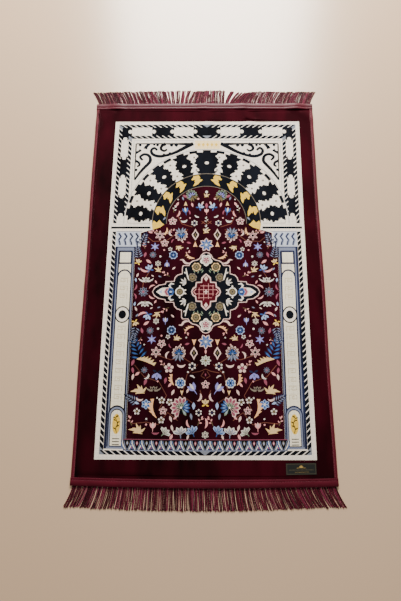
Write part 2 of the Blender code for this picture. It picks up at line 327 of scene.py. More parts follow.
# ---- the arch: dashed ring, stepped voussoirs, ring of gold blocks
ARCH_Y = 155.0
RULE_RADIUS = 236.0
DASH_RING = (224.5, 233.0)
VOUSSOIR_ROOT = 155.0
GOLD_ROOT = 112.0
HALF_STEP = 10.25  # degrees from a dark block's middle to the light one's beside it
DASH_HALF = 3.0  # degrees
VOUSSOIR = (  # a dark block's steps: distance from the arch's centre at its end, half width
    (158.5, 16.0), (163.0, 20.0), (168.0, 12.5), (172.5, 15.0), (176.5, 19.5), (181.5, 22.5), (185.5, 19.5),
    (193.5, 27.0), (197.5, 23.0), (204.5, 24.5), (209.0, 20.5), (215.0, 16.5), (219.5, 21.5), (226.0, 24.5),
)
CROWN_EXTRA = 10.0  # the block at the crown is this much wider each side
GOLD_BEARING = 12.3  # the first gold block's, then the step to the next
GOLD_STEP = 20.8
GOLD_BLOCK = (  # bearing from its own middle, distance
    (-3.1, 151.1), (2.8, 151.1), (3.6, 146.9), (6, 142.7), (5.5, 139.4), (1, 138.5), (3.3, 134.3), (2.4, 131),
    (4.6, 125.9), (6.9, 120), (2.8, 120.5), (-1, 123.4), (-2.9, 127.6), (-5.8, 131.8), (-7.2, 136),
    (-3.4, 137.7), (-4.6, 141.9), (-4.1, 146.9),
)


def arch_ring(radius, floor_y=SPRINGING):
    """The round of the arch down to its springing, closed straight across."""
    side = math.degrees(math.acos((floor_y - ARCH_Y) / radius))
    return arc(0, ARCH_Y, radius, -side, side, 72)


def at_bearing(bearing, radius):
    t = math.radians(bearing)
    return radius * math.sin(t), ARCH_Y + radius * math.cos(t)


def dark_block(bearing, extra=0.0):
    """A voussoir: two stepped sides about its bearing."""
    side = []
    start = VOUSSOIR_ROOT - 1.5
    for end, half in VOUSSOIR:
        side += [(half + extra, start + 0.7), (half + extra, end - 0.7)]
        start = end
    outline = side + [(-w, r) for w, r in reversed(side)]
    return shifted(turned(outline, -bearing), 0, ARCH_Y)


paint("grey", arch_ring(RULE_RADIUS))
paint("cream", arch_ring(RULE_RADIUS - 1.4))
for k in range(9):
    for side in ((1, -1) if k else (1,)):
        bearing = side * HALF_STEP * k
        outer = arc(0, ARCH_Y, DASH_RING[1], bearing - DASH_HALF, bearing + DASH_HALF, 3)
        inner = arc(0, ARCH_Y, DASH_RING[0], bearing + DASH_HALF, bearing - DASH_HALF, 3)
        paint("ink", outer + inner)
paint("drab", arch_ring(DASH_RING[0] + 0.4))
paint("cream", arch_ring(DASH_RING[0] - 0.7))
for k in (-4, -3, -2, -1, 1, 2, 3, 4):
    paint("ink", dark_block(2 * k * HALF_STEP))
paint("ink", dark_block(0, CROWN_EXTRA))
eye = [(x * 1.35, y) for x, y in circle(0, 0, 4.6)]
for k in range(-4, 5):
    paint("cream", shifted(turned(eye, -2 * k * HALF_STEP), *at_bearing(2 * k * HALF_STEP, 190)))
for k in (1, 3, 5, 7):  # and two small dots on each light block
    for radius in (169, 211):
        paint_both("drab", circle(*at_bearing(k * HALF_STEP, radius), 3.2, 10))
for bearing, radius in ((87.5, 173), (87.0, 209)):
    paint_both("drab", circle(*at_bearing(bearing, radius), 2.8, 10))
paint("drab", arch_ring(VOUSSOIR_ROOT))
paint("ink", arch_ring(VOUSSOIR_ROOT - 1.4, 143.0))
for k in range(4):
    paint_both("gold", [at_bearing(GOLD_BEARING + GOLD_STEP * k + b, r) for b, r in GOLD_BLOCK])
paint_both("gold", [(119, 147), (128, 139), (152, 130), (155, 148), (150, 160), (141, 153), (134, 162),
                    (126, 152)])
paint("drab", arch_ring(GOLD_ROOT + 2.2, 149.0))

# ---- the tablet over the arch: plain, with a row of lozenges
paint("tablet", rectangle(-36, 391.5, 40, 420))
for x in (-24, -11, 2, 15, 28):
    paint("gold", [(x - 4.6, 406), (x, 399.5), (x + 4.6, 406), (x, 412.5)])

# ---- springing course, capitals and columns
CAPITAL = (187.0, 255.0, 80.0, 125.0)  # inner and outer side, foot, top
COLUMN_AXIS = 226
COLUMN_RULES = (  # inner |u|, outer |u|, yarn
    (200.3, 255.5, "navy"), (202.6, 249.2, "steel"), (205.2, 246.2, "navy"), (209.0, 242.8, "shaft"),
)
COLUMN_FOOT = -461.0
DISC_Y = -116.0
NICHE_TOP = -355
paint_both("cream", [(156, 151.5), (156, 134), (158, 126), (277.5, 126), (277.5, 151.5)])
paint_both("drab", rectangle(160, 151.2, 224, 152.6))
paint_both("ink", rectangle(158.5, 134.9, 271, 141.3))
paint_both("steel", rectangle(CAPITAL[0] - 6, 125.4, CAPITAL[1], 127.4))
for inner, outer, yarn in COLUMN_RULES:
    paint_both(yarn, rectangle(inner, COLUMN_FOOT, outer, CAPITAL[2]))
paint_both("steel", rectangle(205, 66, 246, 78))
paint_both("mist", rectangle(CAPITAL[0], CAPITAL[2], CAPITAL[1], CAPITAL[3]))
paint_both("navy", rectangle(CAPITAL[0] - 2, CAPITAL[2] - 2.4, CAPITAL[1], CAPITAL[2] + 0.4))
for k in range(4):
    x = 196.5 + k * 16.2
    paint_both("steel", line([(x + 2.5, 121), (x - 4.0, 111), (x + 2.5, 100.5), (x - 2.5, 85)], 6.4))
    paint_both("navy", line([(x + 3.5, 121), (x - 4.0, 110.5), (x + 2.0, 100.5)], 3.8))
    paint_both("navy", line([(x + 1.0, 99), (x - 2.0, 92), (x - 2.2, 85.5)], 3.2))
for yarn, outline in (  # the neck: a framed square over a round-headed top to the shaft
    ("navy", rectangle(207, 28.5, 245, 68.5)),
    ("shaft", rectangle(211, 33.5, 241, 63.5)),
    ("shaft", rectangle(210, -10, 242, 28.5)),
    ("navy", arc(COLUMN_AXIS, -6, 19.0, -90, 90, 12) + [(245, -20), (207, -20)]),
    ("shaft", arc(COLUMN_AXIS, -7, 15.6, -90, 90, 12) + [(241.6, -20), (210.4, -20)]),
    ("shaft", rectangle(209, -30, 242.8, -8)),
):
    paint_both(yarn, outline)


def meander(x, y, width, height):
    """One turn of a squared key pattern, as a thin line."""
    w, h = width / 2, height / 2
    return line([(x - w, y - h), (x - w, y + h), (x + w * 0.95, y + h), (x + w * 0.95, y - h * 0.5),
                 (x - w * 0.3, y - h * 0.5), (x - w * 0.3, y + h * 0.35), (x + w * 0.35, y + h * 0.35)], 1.7)


for k in range(15):
    y = -20.0 - k * 22.5
    if abs(y - DISC_Y) > 30 and y > NICHE_TOP + 10:
        paint_both("shaft_line", meander(COLUMN_AXIS, y, 19, 13))
for radius, yarn in ((23.5, "ink"), (20.0, "cream"), (12.0, "ink")):
    disc = circle(COLUMN_AXIS, DISC_Y, radius, 28)
    paint_both(yarn, [(COLUMN_AXIS + (x - COLUMN_AXIS) * 0.86, y) for x, y in disc])


def petal(length, width, base=0.0, widest=0.55, steps=4):
    """A pointed leaf up from its base, widest at that share of its length."""
    power = math.log(0.5) / math.log(widest)
    side = []
    for k in range(1, steps):
        t = k / steps
        side.append((math.sin(math.pi * t**power) * width / 2, base + length * t))
    return [(0, base)] + side + [(0, base + length)] + [(-x, y) for x, y in reversed(side)]


# the niche at the column's foot: a round-headed frame, a gold spray in it and plain bars below
for half, top, yarn in ((22.5, NICHE_TOP, "navy"), (19.5, -359, "steel"), (15.8, -364, "navy"),
                        (14.2, -366.5, "shaft")):
    head = arc(COLUMN_AXIS, top - half, half, -90, 90, 14)
    paint_both(yarn, head + [(COLUMN_AXIS + half, COLUMN_FOOT + 2), (COLUMN_AXIS - half, COLUMN_FOOT + 2)])
paint_both("steel", rectangle(204, COLUMN_FOOT, 249, COLUMN_FOOT + 5))
paint_both("navy", rectangle(211, COLUMN_FOOT + 5, 241, COLUMN_FOOT + 7.4))
paint_both("gold", [(COLUMN_AXIS + 10.5 * x, -401 + 25 * y) for x, y in circle(0, 0, 1, 20)])
stroke("ink", [(224, -424), (227, -412), (223, -400), (228, -388), (225, -379)], [0.7, 1.2, 1.2, 1.0, 0.6])
for dx, y, turn in ((1, -414, -60), (-1, -408, 55), (-1, -398, 70), (1, -394, -55), (1, -385, 50),
                    (2, -387, -70)):
    paint_both("ink", shifted(turned(petal(8.5, 3.2), turn), COLUMN_AXIS + dx, y))
for y in (-438, -445, -452):
    paint_both("ink", rectangle(217, y, 235, y + 2.2))

# ---- the field, its opening under the arch, and the flowered band at its foot
FIELD_HALF = 200.0
FIELD_FOOT = -437.0
FLOWER_BAND = (-463.5, -438.5)
FLOWER_PITCH = 24.5
right = [(FIELD_HALF, FIELD_FOOT), (FIELD_HALF, CAPITAL[2] - 2.4), (CAPITAL[0] - 2, CAPITAL[2] - 2.4),
         (CAPITAL[0] - 2, 122), (167, 128), (150, 132.5), (131, 139), (117, 150)]
left = flipped(right)
paint("field", left[-1:] + right + left[:-1])
paint("field", arch_ring(GOLD_ROOT + 1.0, 149.0))

# ---- motifs: each is a list of (yarn, outline), drawn upright about its own middle


def petals(yarn, turns, *shape):
    """Like petals round a middle, one at each turn."""
    return [(yarn, turned(petal(*shape), t)) for t in turns]


def flower(count, reach, width, outer, inner, eye, first=0.0):
    """Petals round an eye, each with a smaller petal of another yarn on it."""
    spread = [first + 360 * k / count for k in range(count)]
    return (petals(outer, spread, reach, width)
            + petals(inner, spread, reach * 0.66, width * 0.56, reach * 0.2)
            + [(eye, circle(0, 0, reach * 0.24, 8))])


def star(count, reach, waist, yarn, eye):
    points = []
    for k in range(2 * count):
        r = waist if k % 2 else reach
        points.append((r * math.sin(math.pi * k / count), r * math.cos(math.pi * k / count)))
    return [(yarn, points), (eye, circle(0, 0, waist * 0.45, 8))]


def scallops(count, reach, lobe):
    """The outline of a round with a scalloped edge."""
    points = []
    for k in range(count * 4):
        t = 2 * math.pi * k / (count * 4)
        r = reach - lobe * (1 - abs(math.sin(t * count / 2)))
        points.append((r * math.sin(t), r * math.cos(t)))
    return points


def round_flower(reach, edge, body, spots, eye):
    return ([(edge, scallops(8, reach, reach * 0.2)), (body, circle(0, 0, reach * 0.74, 16))]
            + petals(spots, range(0, 360, 60), reach * 0.4, reach * 0.22, reach * 0.24)
            + [(eye, circle(0, 0, reach * 0.18, 8))])


def crescent(reach, width, sweep, yarn):
    spine = arc(-reach, 0, reach, 90 - sweep / 2, 90 + sweep / 2, 8)
    return [(yarn, ribbon(spine, [max(0.4, width * math.sin(math.pi * k / 8) ** 0.8) for k in range(9)]))]


def feather(length, width, teeth, bend, yarn):
    """A slim curved leaf with forward-pointing teeth on its outer side."""
    def rib(t):
        return bend * length * math.sin(math.pi * t) * 0.5, length * (t - 0.5)
    outer, inner = [], []
    for k in range(teeth):
        t = (k + 0.1) / teeth
        swell = math.sin(math.pi * (0.1 + 0.8 * t)) ** 0.8
        x, y = rib(t)
        outer.append((x + width * 0.16 * swell, y))
        x, y = rib(min(1.0, t + 0.7 / teeth))
        outer.append((x + width * (0.22 + 0.42 * swell), y + width * 0.2))
    for k in range(6):
        x, y = rib(1 - k / 5)
        inner.append((x - width * 0.26 * math.sin(math.pi * k / 5) - 0.4, y))
    return [(yarn, outer + inner)]


def hand_leaf(reach, yarn, fingers=((-74, 1.0), (-36, 0.8), (0, 0.95), (40, 0.7), (66, 1.05))):
    """A broad leaf with curved fingers over a curved stem."""
    parts = []
    for bearing, length in fingers:
        tip = arc(0, 0, reach * length, bearing + 10, bearing + 10, 1)[0]
        middle = arc(0, 0, reach * length * 0.55, bearing - 4, bearing - 4, 1)[0]
        parts.append((yarn, ribbon([(0, 0), middle, tip], [reach * 0.22, reach * 0.3, reach * 0.05])))
    stem = [(-reach * 0.6, -reach * 0.2), (0, 0), (reach * 0.5, -reach * 0.1)]
    return parts + [(yarn, ribbon(stem, [1.2, reach * 0.3, 1.2]))]


def lotus(reach, outer, inner, heart):
    parts = []
    for side in (-1, 1):
        wing = ribbon([(0, 0), (side * reach * 0.45, reach * 0.02), (side * reach * 0.8, reach * 0.2),
                       (side * reach, reach * 0.42)], [reach * 0.2, reach * 0.24, reach * 0.16, reach * 0.05])
        parts.append((outer, wing))
        parts.append((outer, turned(petal(reach * 0.72, reach * 0.26, 0.5), side * 42)))
        parts.append((inner, turned(petal(reach * 0.44, reach * 0.12, reach * 0.12), side * 42)))
    parts.append((outer, petal(reach * 0.62, reach * 0.38, 0)))
    parts.append((heart, petal(reach * 0.4, reach * 0.2, reach * 0.08)))
    parts.append((inner, shifted(turned(petal(reach * 0.3, reach * 0.3), 180), 0, 2)))
    return parts


def palmette(reach, edge, body, leaf, calyx):
    """A dark oval palmette: small outlined petals round its edge, leaves inside, a calyx under it."""
    parts = [(body, petal(reach * 1.75, reach * 1.3, -reach * 0.78))]
    parts += petals(calyx, (138, 162, 198, 222), reach * 0.85, reach * 0.2, reach * 0.1)
    for k in range(-4, 5):
        size = reach * (1.0 - 0.06 * abs(k))
        parts.append((edge, turned(petal(size * 0.52, reach * 0.29, size * 0.48, 0.6), 28 * k)))
        parts.append((body, turned(petal(size * 0.34, reach * 0.13, size * 0.54, 0.6, 3), 28 * k)))
    return parts + petals(leaf, range(-84, 85, 42), reach * 0.55, reach * 0.15, 1) + [
        (calyx, circle(0, 0, reach * 0.12, 8))]


def fern(length, leaf, rib):
    """Slender leaves in pairs along a stem, each with a light rib."""
    parts = [("ink", ribbon([(0, -length / 2), (length * 0.06, 0), (0, length / 2)], [3.4, 3.4, 1.4]))]
    for k in range(5):
        y = length * (0.17 * k - 0.5)
        for side in (-1, 1):
            for yarn, reach, width in ((leaf, 0.42 - 0.03 * k, 0.15), (rib, 0.34 - 0.03 * k, 0.08)):
                leaflet = petal(length * reach, length * width, length * 0.02, 0.6)
                parts.append((yarn, shifted(turned(leaflet, side * (62 - 7 * k)), 0, y)))
    return parts + [(leaf, shifted(petal(length * 0.3, length * 0.13), 0, length * 0.3))]


def half_fan(reach, outer, inner):
    """Four petals opening from a short stem."""
    turns = (-52, -18, 18, 52)
    return (petals(outer, turns, reach, reach * 0.42, 0, 0.72)
            + petals(inner, turns, reach * 0.7, reach * 0.16, reach * 0.15, 0.6)
            + [(inner, ribbon([(0, 2), (1, -reach * 0.35)], [reach * 0.14, reach * 0.06]))])


def iris(reach, upper, lower, eye):
    return (petals(lower, (118, 242), reach * 0.7, reach * 0.3)
            + petals(upper, (-40, 0, 40), reach, reach * 0.42, 0, 0.6)
            + [(eye, petal(reach * 0.5, reach * 0.14, reach * 0.1))])


def tulip(reach, outer, inner):
    return petals(outer, (-26, 26), reach, reach * 0.46, 0, 0.5) + [
        (inner, petal(reach * 0.9, reach * 0.3, reach * 0.12)),
        (outer, ribbon([(0, 1), (0, -reach * 0.45)], [reach * 0.12, reach * 0.06]))]


def pendant(reach, edge, body, drop):
    shape = [(0, -0.8), (0.42, -0.15), (0.5, 0.15), (0.2, 0.55), (0, 1.0), (-0.2, 0.55), (-0.5, 0.15),
             (-0.42, -0.15)]
    return [
        (edge, shifted(shape, 0, 0, reach)),
        (body, shifted(shape, 0, reach * 0.04, reach * 0.66)),
        (drop, shifted(petal(reach * 0.5, reach * 0.24), 0, -reach * 0.22)),
    ]


def beads(count, ring, radius, yarn, eye):
    turns = [2 * math.pi * k / count for k in range(count)]
    return [(yarn, circle(ring * math.sin(t), ring * math.cos(t), radius, 8)) for t in turns] + [
        (eye, circle(0, 0, ring * 0.42, 8))]


def sprig(length, stem, leaf):
    parts = [(stem, ribbon([(0, -length / 2), (length * 0.08, 0), (0, length / 2)], [1.3, 1.6, 0.8]))]
    for y, t in ((-0.2, 55), (0.0, -55), (0.25, 40)):
        parts.append((leaf, shifted(turned(petal(length * 0.36, length * 0.15), t), 0, y * length)))
    parts.append((leaf, shifted(petal(length * 0.34, length * 0.17), 0, length * 0.36)))
    return parts


def wedge(reach, yarn):
    return [(yarn, shifted([(0, 1), (-0.55, -0.5), (0, -0.36), (0.55, -0.5)], 0, 0, reach))]


def boomerang(reach, yarn):
    return [(yarn, ribbon([(-reach, -reach * 0.3), (-reach * 0.2, 0), (reach * 0.3, reach * 0.7)],
                          [reach * 0.3, reach * 0.55, reach * 0.3]))]


def drop(length, width, yarn):
    return [(yarn, petal(length, width, -length / 2))]


def peony(reach, outer, inner, cool, leaf):
    """A broad fan of outlined petals on its outer side, with cool petals and leaves towards the axis."""
    parts = [("ink", circle(0, 0, reach * 0.6, 14))]
    for t in range(-148, 21, 28):
        parts += petals(outer, (t,), reach * 0.95, reach * 0.42, reach * 0.1, 0.74)
        parts += petals(inner, (t,), reach * 0.58, reach * 0.27, reach * 0.34, 0.64)
    for t, yarn in ((44, cool), (68, cool), (92, cool), (118, cool), (146, leaf)):
        parts += petals(yarn, (t,), reach * 0.8, reach * 0.26, reach * 0.1, 0.66)
        parts += petals("sky", (t,), reach * 0.42, reach * 0.08, reach * 0.3, 0.6, 3)
    parts += petals(leaf, (-70, -20, 30), reach * 0.55, reach * 0.26, -1)
    parts += petals("ink", (-70, -20, 30), reach * 0.3, reach * 0.07, 2, 0.55, 3)
    return parts + [("cream", circle(0, 0, reach * 0.1, 8))]


MOTIFS = {
    "lotus_rose": lotus(22, "pearl", "drab", "ink"),
    "night_flower": flower(9, 12.5, 4.6, "steel", "ink", "mauve"),
    "rosette": flower(5, 13, 8.4, "blush", "mauve", "ink"),
    "rosette_cream": flower(6, 12, 7.5, "pearl", "olive", "ink"),
    "aster": flower(6, 16, 6.8, "blush", "mauve", "ink"),
    "blue_round": round_flower(12.5, "sky", "navy", "blue", "sky"),
    "blue_round_cream": round_flower(14, "pearl", "blue", "sky", "ink"),
    "star": star(6, 13.5, 5.2, "lavender", "sky"),
    "bud": hand_leaf(14, "beige", ((-60, 0.9), (-14, 1.0), (26, 0.8), (60, 1.0))),
    "bud_three": hand_leaf(14, "beige", ((-50, 1.0), (-4, 1.0), (44, 1.0))),
    "hand_leaf": hand_leaf(21, "beige"),
    "feather": feather(50, 18, 6, 0.26, "beige"),
    "feather_rose": feather(46, 14, 5, 0.42, "peach"),
    "feather_small": feather(28, 11, 4, 0.4, "peach"),
    "crescent": crescent(12, 5.6, 120, "blush"),
    "crescent_rose": crescent(16, 5.4, 90, "rose"),
    "crescent_cream": crescent(10, 6.0, 130, "pearl"),
    "crescent_mauve": crescent(15, 5.0, 80, "mauve"),
    "iris_blue": iris(16, "sky", "blue", "navy"),
    "iris_lavender": iris(17, "lavender", "navy", "blue"),
    "iris_gold": iris(16, "beige", "gold", "olive"),
    "fern_navy": fern(40, "navy", "steel"),
    "tulip": tulip(15, "lavender", "pearl"),
    "tulip_blue": tulip(16, "blue", "pearl"),
    "tulip_rose": tulip(13, "rose", "blush"),
    "pendant": pendant(20, "blush", "ink", "olive"),
    "beads": beads(5, 6, 2.8, "pearl", "olive"),
    "beads_navy": beads(6, 8, 3.0, "pearl", "navy"),
    "beads_rose": beads(5, 8.5, 4.4, "blush", "mauve"),
    "sprig": sprig(22, "olive", "rose"),
    "sprig_cream": sprig(20, "olive", "pearl"),
    "wedge": wedge(11, "peach"),
    "wedge_gold": wedge(10, "beige"),
    "boomerang": boomerang(9, "pearl"),
    "drop": drop(15, 6, "blush"),
    "drop_rose": drop(16, 7, "rose"),
    "drop_mauve": drop(17, 7.5, "mauve"),
    "drop_steel": drop(14, 5.5, "steel"),
    "drop_sky": drop(15, 7, "sky"),
    "dot": [("pearl", circle(0, 0, 3.0, 8))],
    "dot_rose": [("rose", circle(0, 0, 2.8, 8))],
    "night_palmette": palmette(23, "blush", "ink", "blue", "steel"),
    "blue_cluster": flower(6, 13, 9.5, "sky", "blue", "pearl"),
    "fern": fern(52, "navy", "blue"),
    "fan_blue": half_fan(19, "sky", "blue"),
    "sage_palmette": palmette(19, "sage", "ink", "lavender", "olive"),
    "fan": half_fan(21, "pearl", "steel"),
    "fan_sage": half_fan(19, "pearl", "sage"),
    "crown_flower": (flower(7, 21, 12, "blush", "blue", "navy")
                     + flower(7, 13, 4.2, "sky", "navy", "pearl", 25.7)),
    "axis_flower": flower(8, 15, 7.5, "pearl", "sage", "olive"),
    "peony": peony(27, "blush", "mauve", "blue", "sage"),
    "peony_small": flower(5, 13, 9.5, "blush", "mauve", "ink"),
    "olive_iris": lotus(17, "drab", "field", "ink"),
}


def motif_at(kind, u, y, turn=0, size=1.0):
    """A motif's parts in the field, turned clockwise."""
    return [(yarn, shifted(turned(outline, -turn), u, y, size)) for yarn, outline in MOTIFS[kind]]


# ---- the field's chart: one quarter about the medallion, then what is only above or only below it
MEDALLION_Y = -52.0
QUARTER = (  # kind, from the axis, from the medallion's middle, turn if any, size if changed
    ("lotus_rose", 166, 30, 0, 0.95), ("crescent_rose", 150, 17, -60, 0.8), ("drop_rose", 138, 28, 30, 0.7),
    ("bud_three", 133, 60), ("rosette_cream", 134, 82, 0, 0.75), ("sprig", 110, 50, 60),
    ("drop", 90, 68, -50, 0.8), ("iris_blue", 156, 64, 20), ("crescent_rose", 173, 60, 70, 1.1),
    ("drop_rose", 160, 88, 55, 1.15), ("drop_mauve", 171, 108, -15), ("night_flower", 149, 108, 0, 0.8),
    ("tulip", 109, 86, 180, 0.95), ("dot", 128, 103), ("blue_round", 92, 107), ("star", 144, 132),
    ("rosette", 117, 143, 0, 0.95), ("aster", 131, 166, 0, 0.95), ("bud", 77, 132, 190, 0.95),
    ("wedge", 31, 137), ("crescent", 58, 84, 60, 1.1), ("crescent", 64, 92, 240, 0.8),
    ("feather_small", 43, 104, 60, 0.9), ("sprig", 54, 110, -35, 0.9), ("drop_mauve", 49, 144, 75, 0.8),
    ("night_palmette", 71, 170, 186), ("pendant", 31, 167), ("crescent", 104, 172, 20, 0.9),
    ("iris_gold", 191, 84, -20, 0.8), ("drop", 190, 48, -25, 0.9), ("drop_sky", 194, 34, 10, 0.8),
    ("crescent_mauve", 192, 12, 160, 0.9), ("fern_navy", 191, 118, 10, 0.9),
    ("drop_steel", 186, 66, 40, 0.8), ("beads", 101, 125, 0, 0.7), ("dot_rose", 118, 122, 0, 0.9),
    ("drop", 148, 46, 60, 0.6), ("dot_rose", 66, 146, 0, 0.8), ("sprig", 174, 134, 15, 0.8),
    ("dot", 163, 146, 0, 0.7), ("crescent_mauve", 96, 150, -30, 0.7), ("dot", 52, 127, 0, 0.7),
    ("drop_steel", 128, 44, 70, 0.7),
)
ABOVE = (  # and these with their own y
    ("sage_palmette", 42, 238, 35, 1.1), ("drop_mauve", 62, 236, 60), ("drop_steel", 68, 229, 20, 0.9),
    ("dot_rose", 24, 228, 0, 1.1), ("drop_rose", 41, 209, 15, 0.9), ("iris_blue", 21, 200, -38, 0.95),
    ("wedge_gold", 60, 211, 0, 0.9), ("tulip_blue", 59, 184, 10, 1.1), ("drop_rose", 84, 211, -30),
    ("sprig_cream", 92, 195, -10), ("crescent_rose", 78, 180, 160, 0.9), ("boomerang", 30, 171, 10, 0.9),
    ("peony_small", 96, 158), ("crescent_cream", 63, 156, 100), ("beads_navy", 34, 152, 0, 0.85),
    ("drop", 12, 214, -25, 0.9), ("feather_small", 116, 128, 160, 0.8), ("fern_navy", 176, 104, -20),
    ("drop_steel", 120, 166, -40, 0.9), ("dot_rose", 47, 168, 0, 0.8), ("sprig", 100, 128, -60, 0.8),
    ("crescent_mauve", 48, 186, 200, 0.8), ("dot", 74, 168, 0, 0.7), ("drop_rose", 158, 124, 70, 0.9),
    ("sprig", 143, 126, 80, 0.9), ("dot", 82, 226, 0, 0.7),
)
BELOW = (
    ("fern", 183, -206, 20, 1.15), ("fern_navy", 193, -178, -10, 0.8), ("feather", 158, -245, 250),
    ("drop_mauve", 191, -246, -20, 1.1), ("drop_mauve", 190, -266, 10), ("drop", 189, -283, -10, 1.15),
    ("drop_rose", 178, -275, -50), ("iris_lavender", 126, -272, 175, 1.15),
    ("crescent_cream", 150, -284, 140, 0.9), ("night_flower", 160, -265, 0, 0.7),
    ("hand_leaf", 170, -322, 10, 1.05), ("drop_mauve", 156, -296, -20, 1.1),
    ("olive_iris", 134, -318, 0, 1.15), ("fern_navy", 192, -338, 60, 0.9), ("crescent", 170, -342, 80, 0.9),
    ("blue_cluster", 152, -352), ("drop_sky", 176, -349, 70, 0.9), ("feather_rose", 128, -362, 10, 1.05),
    ("beads", 175, -370), ("sprig", 190, -394, 20), ("hand_leaf", 172, -420, 0, 1.05),
    ("tulip_rose", 133, -412, 0, 1.25), ("crescent_mauve", 126, -424, 90), ("beads", 112, -342),
    ("beads", 92, -346, 30), ("beads", 112, -391), ("rosette", 108, -368, 0, 0.85), ("beads_rose", 96, -260),
    ("drop_mauve", 104, -292, -10), ("drop_rose", 92, -303, -40, 0.9), ("drop", 84, -322, -25, 1.1),
    ("feather_small", 84, -290, 10, 1.05), ("crescent", 64, -256, 90, 1.05),
    ("beads_navy", 35, -255, 0, 0.95), ("blue_round_cream", 65, -298), ("wedge_gold", 61, -321, 180, 0.8),
    ("boomerang", 32, -280, 190, 0.9), ("tulip", 28, -318, 35, 1.5), ("peony", 62, -360),
    ("drop_sky", 30, -356, 0, 1.25), ("drop_steel", 36, -382, 10, 1.2), ("drop", 46, -318, -20, 0.9),
    ("drop", 88, -388, 20, 1.1), ("drop_rose", 77, -386, -60, 0.7), ("fan", 62, -427, 12, 1.05),
    ("fan_blue", 30, -424, 28, 1.1), ("fan_sage", 106, -425, -40), ("drop", 84, -410, 15, 1.1),
    ("beads_navy", 17, -372, 0, 0.8), ("sprig", 14, -394, -30), ("crescent", 12, -336, 160),
    ("drop_rose", 86, -432, -25), ("dot", 124, -336, 0, 0.8), ("dot_rose", 150, -402, 0, 0.9),
    ("crescent_rose", 46, -400, 20, 0.9), ("dot", 150, -388, 0, 0.8), ("dot_rose", 124, -294, 0, 0.8),
    ("drop", 44, -432, -20, 0.9), ("sprig", 112, -250, 40, 0.9), ("dot", 46, -270, 0, 0.8),
)
ON_AXIS = (
    ("bud_three", 0, 236, 0, 0.8), ("dot", 0, 250, 0, 1.4), ("tulip_rose", 0, 184),
    ("drop_mauve", 0, 206, 0, 1.1), ("sprig_cream", 0, 160, 0, 0.9), ("bud_three", 0, 124),
    ("sprig_cream", 0, 134), ("crown_flower", 0, 86), ("crown_flower", 0, -190, 180),
    ("axis_flower", 0, -240), ("drop_rose", 0, -217, 0, 0.8), ("rosette", 0, -302, 0, 0.9),
    ("iris_gold", 0, -352, 0, 0.9), ("drop_mauve", 0, -277, 0, 0.5), ("crescent_rose", 4, -398, 0, 1.1),
    ("rosette_cream", 0, -426, 0, 0.8),
)
VINES = (  # stems behind the motifs, each as points from the axis
    ((176, 118), (150, 96), (112, 98), (84, 120), (52, 132)), ((60, 200), (84, 178), (70, 150), (40, 140)),
    ((186, -252), (160, -282), (120, -296), (100, -330), (120, -368)),
    ((20, -250), (48, -276), (60, -330), (30, -350)),
    ((186, -400), (150, -396), (120, -402), (96, -372), (70, -392)), ((150, 20), (172, -20), (176, -52)),
    ((128, -226), (92, -238), (60, -232), (38, -246)), ((0, -262), (14, -268), (36, -272)),
    ((4, -268), (12, -280), (2, -286)), ((14, -316), (8, -334)), ((2, 160), (14, 150)), ((2, 148), (14, 158)),
)
for vine in VINES:
    paint_both("vine", line(vine, 1.6))
for kind, u, v, *how in QUARTER:
    for yarn, outline in motif_at(kind, u, MEDALLION_Y + v, *how):
        paint_both(yarn, outline)
    if v < 173 or u < 160:  # and mirrored below, but for the corner that the lower chart fills
        for yarn, outline in motif_at(kind, u, v, *how):
            paint_both(yarn, [(x, MEDALLION_Y - y) for x, y in reversed(outline)])
for kind, u, y, *how in ABOVE + BELOW:
    for yarn, outline in motif_at(kind, u, y, *how):
        paint_both(yarn, outline)
for kind, u, y, *how in ON_AXIS:
    for yarn, outline in motif_at(kind, u, y, *how):
        paint(yarn, outline)
for yarn, outline in motif_at("night_flower", 172, MEDALLION_Y, 0, 1.15):
    paint_both(yarn, outline)

# ---- the medallion: a stepped and lobed black ground, drawn as one quarter and mirrored both ways
MEDALLION = (  # its upper right quarter, and the cross in its middle
    (0, 116), (8, 114), (15, 107), (19, 98), (27, 93), (37, 91), (45, 85), (49, 77), (64, 77), (67, 72),
    (67, 53), (80, 49), (87, 41), (89, 31), (111, 30), (113, 23), (130, 20), (142, 12), (148, 0),
)
CROSS = ((0, 53), (7, 47), (13, 41), (14, 29), (28, 28), (30, 15), (37, 11), (41, 0))


def four_ways(quarter):
    """A closed outline about the medallion's middle from its upper right quarter."""
    right = list(quarter) + [(x, -y) for x, y in reversed(quarter[:-1])]
    whole = right + [(-x, y) for x, y in reversed(right[1:-1])]
    return [(x, MEDALLION_Y + y) for x, y in reversed(whole)]


def shrunk(quarter, by):
    return [(max(0.0, x - by), max(0.0, y - by)) for x, y in quarter]


def in_quarters(yarn, outline):
    """The same shape in all four quarters of the medallion."""
    for points in (outline, flipped(outline)):
        paint(yarn, [(x, MEDALLION_Y + y) for x, y in points])
        paint(yarn, [(x, MEDALLION_Y - y) for x, y in reversed(points)])


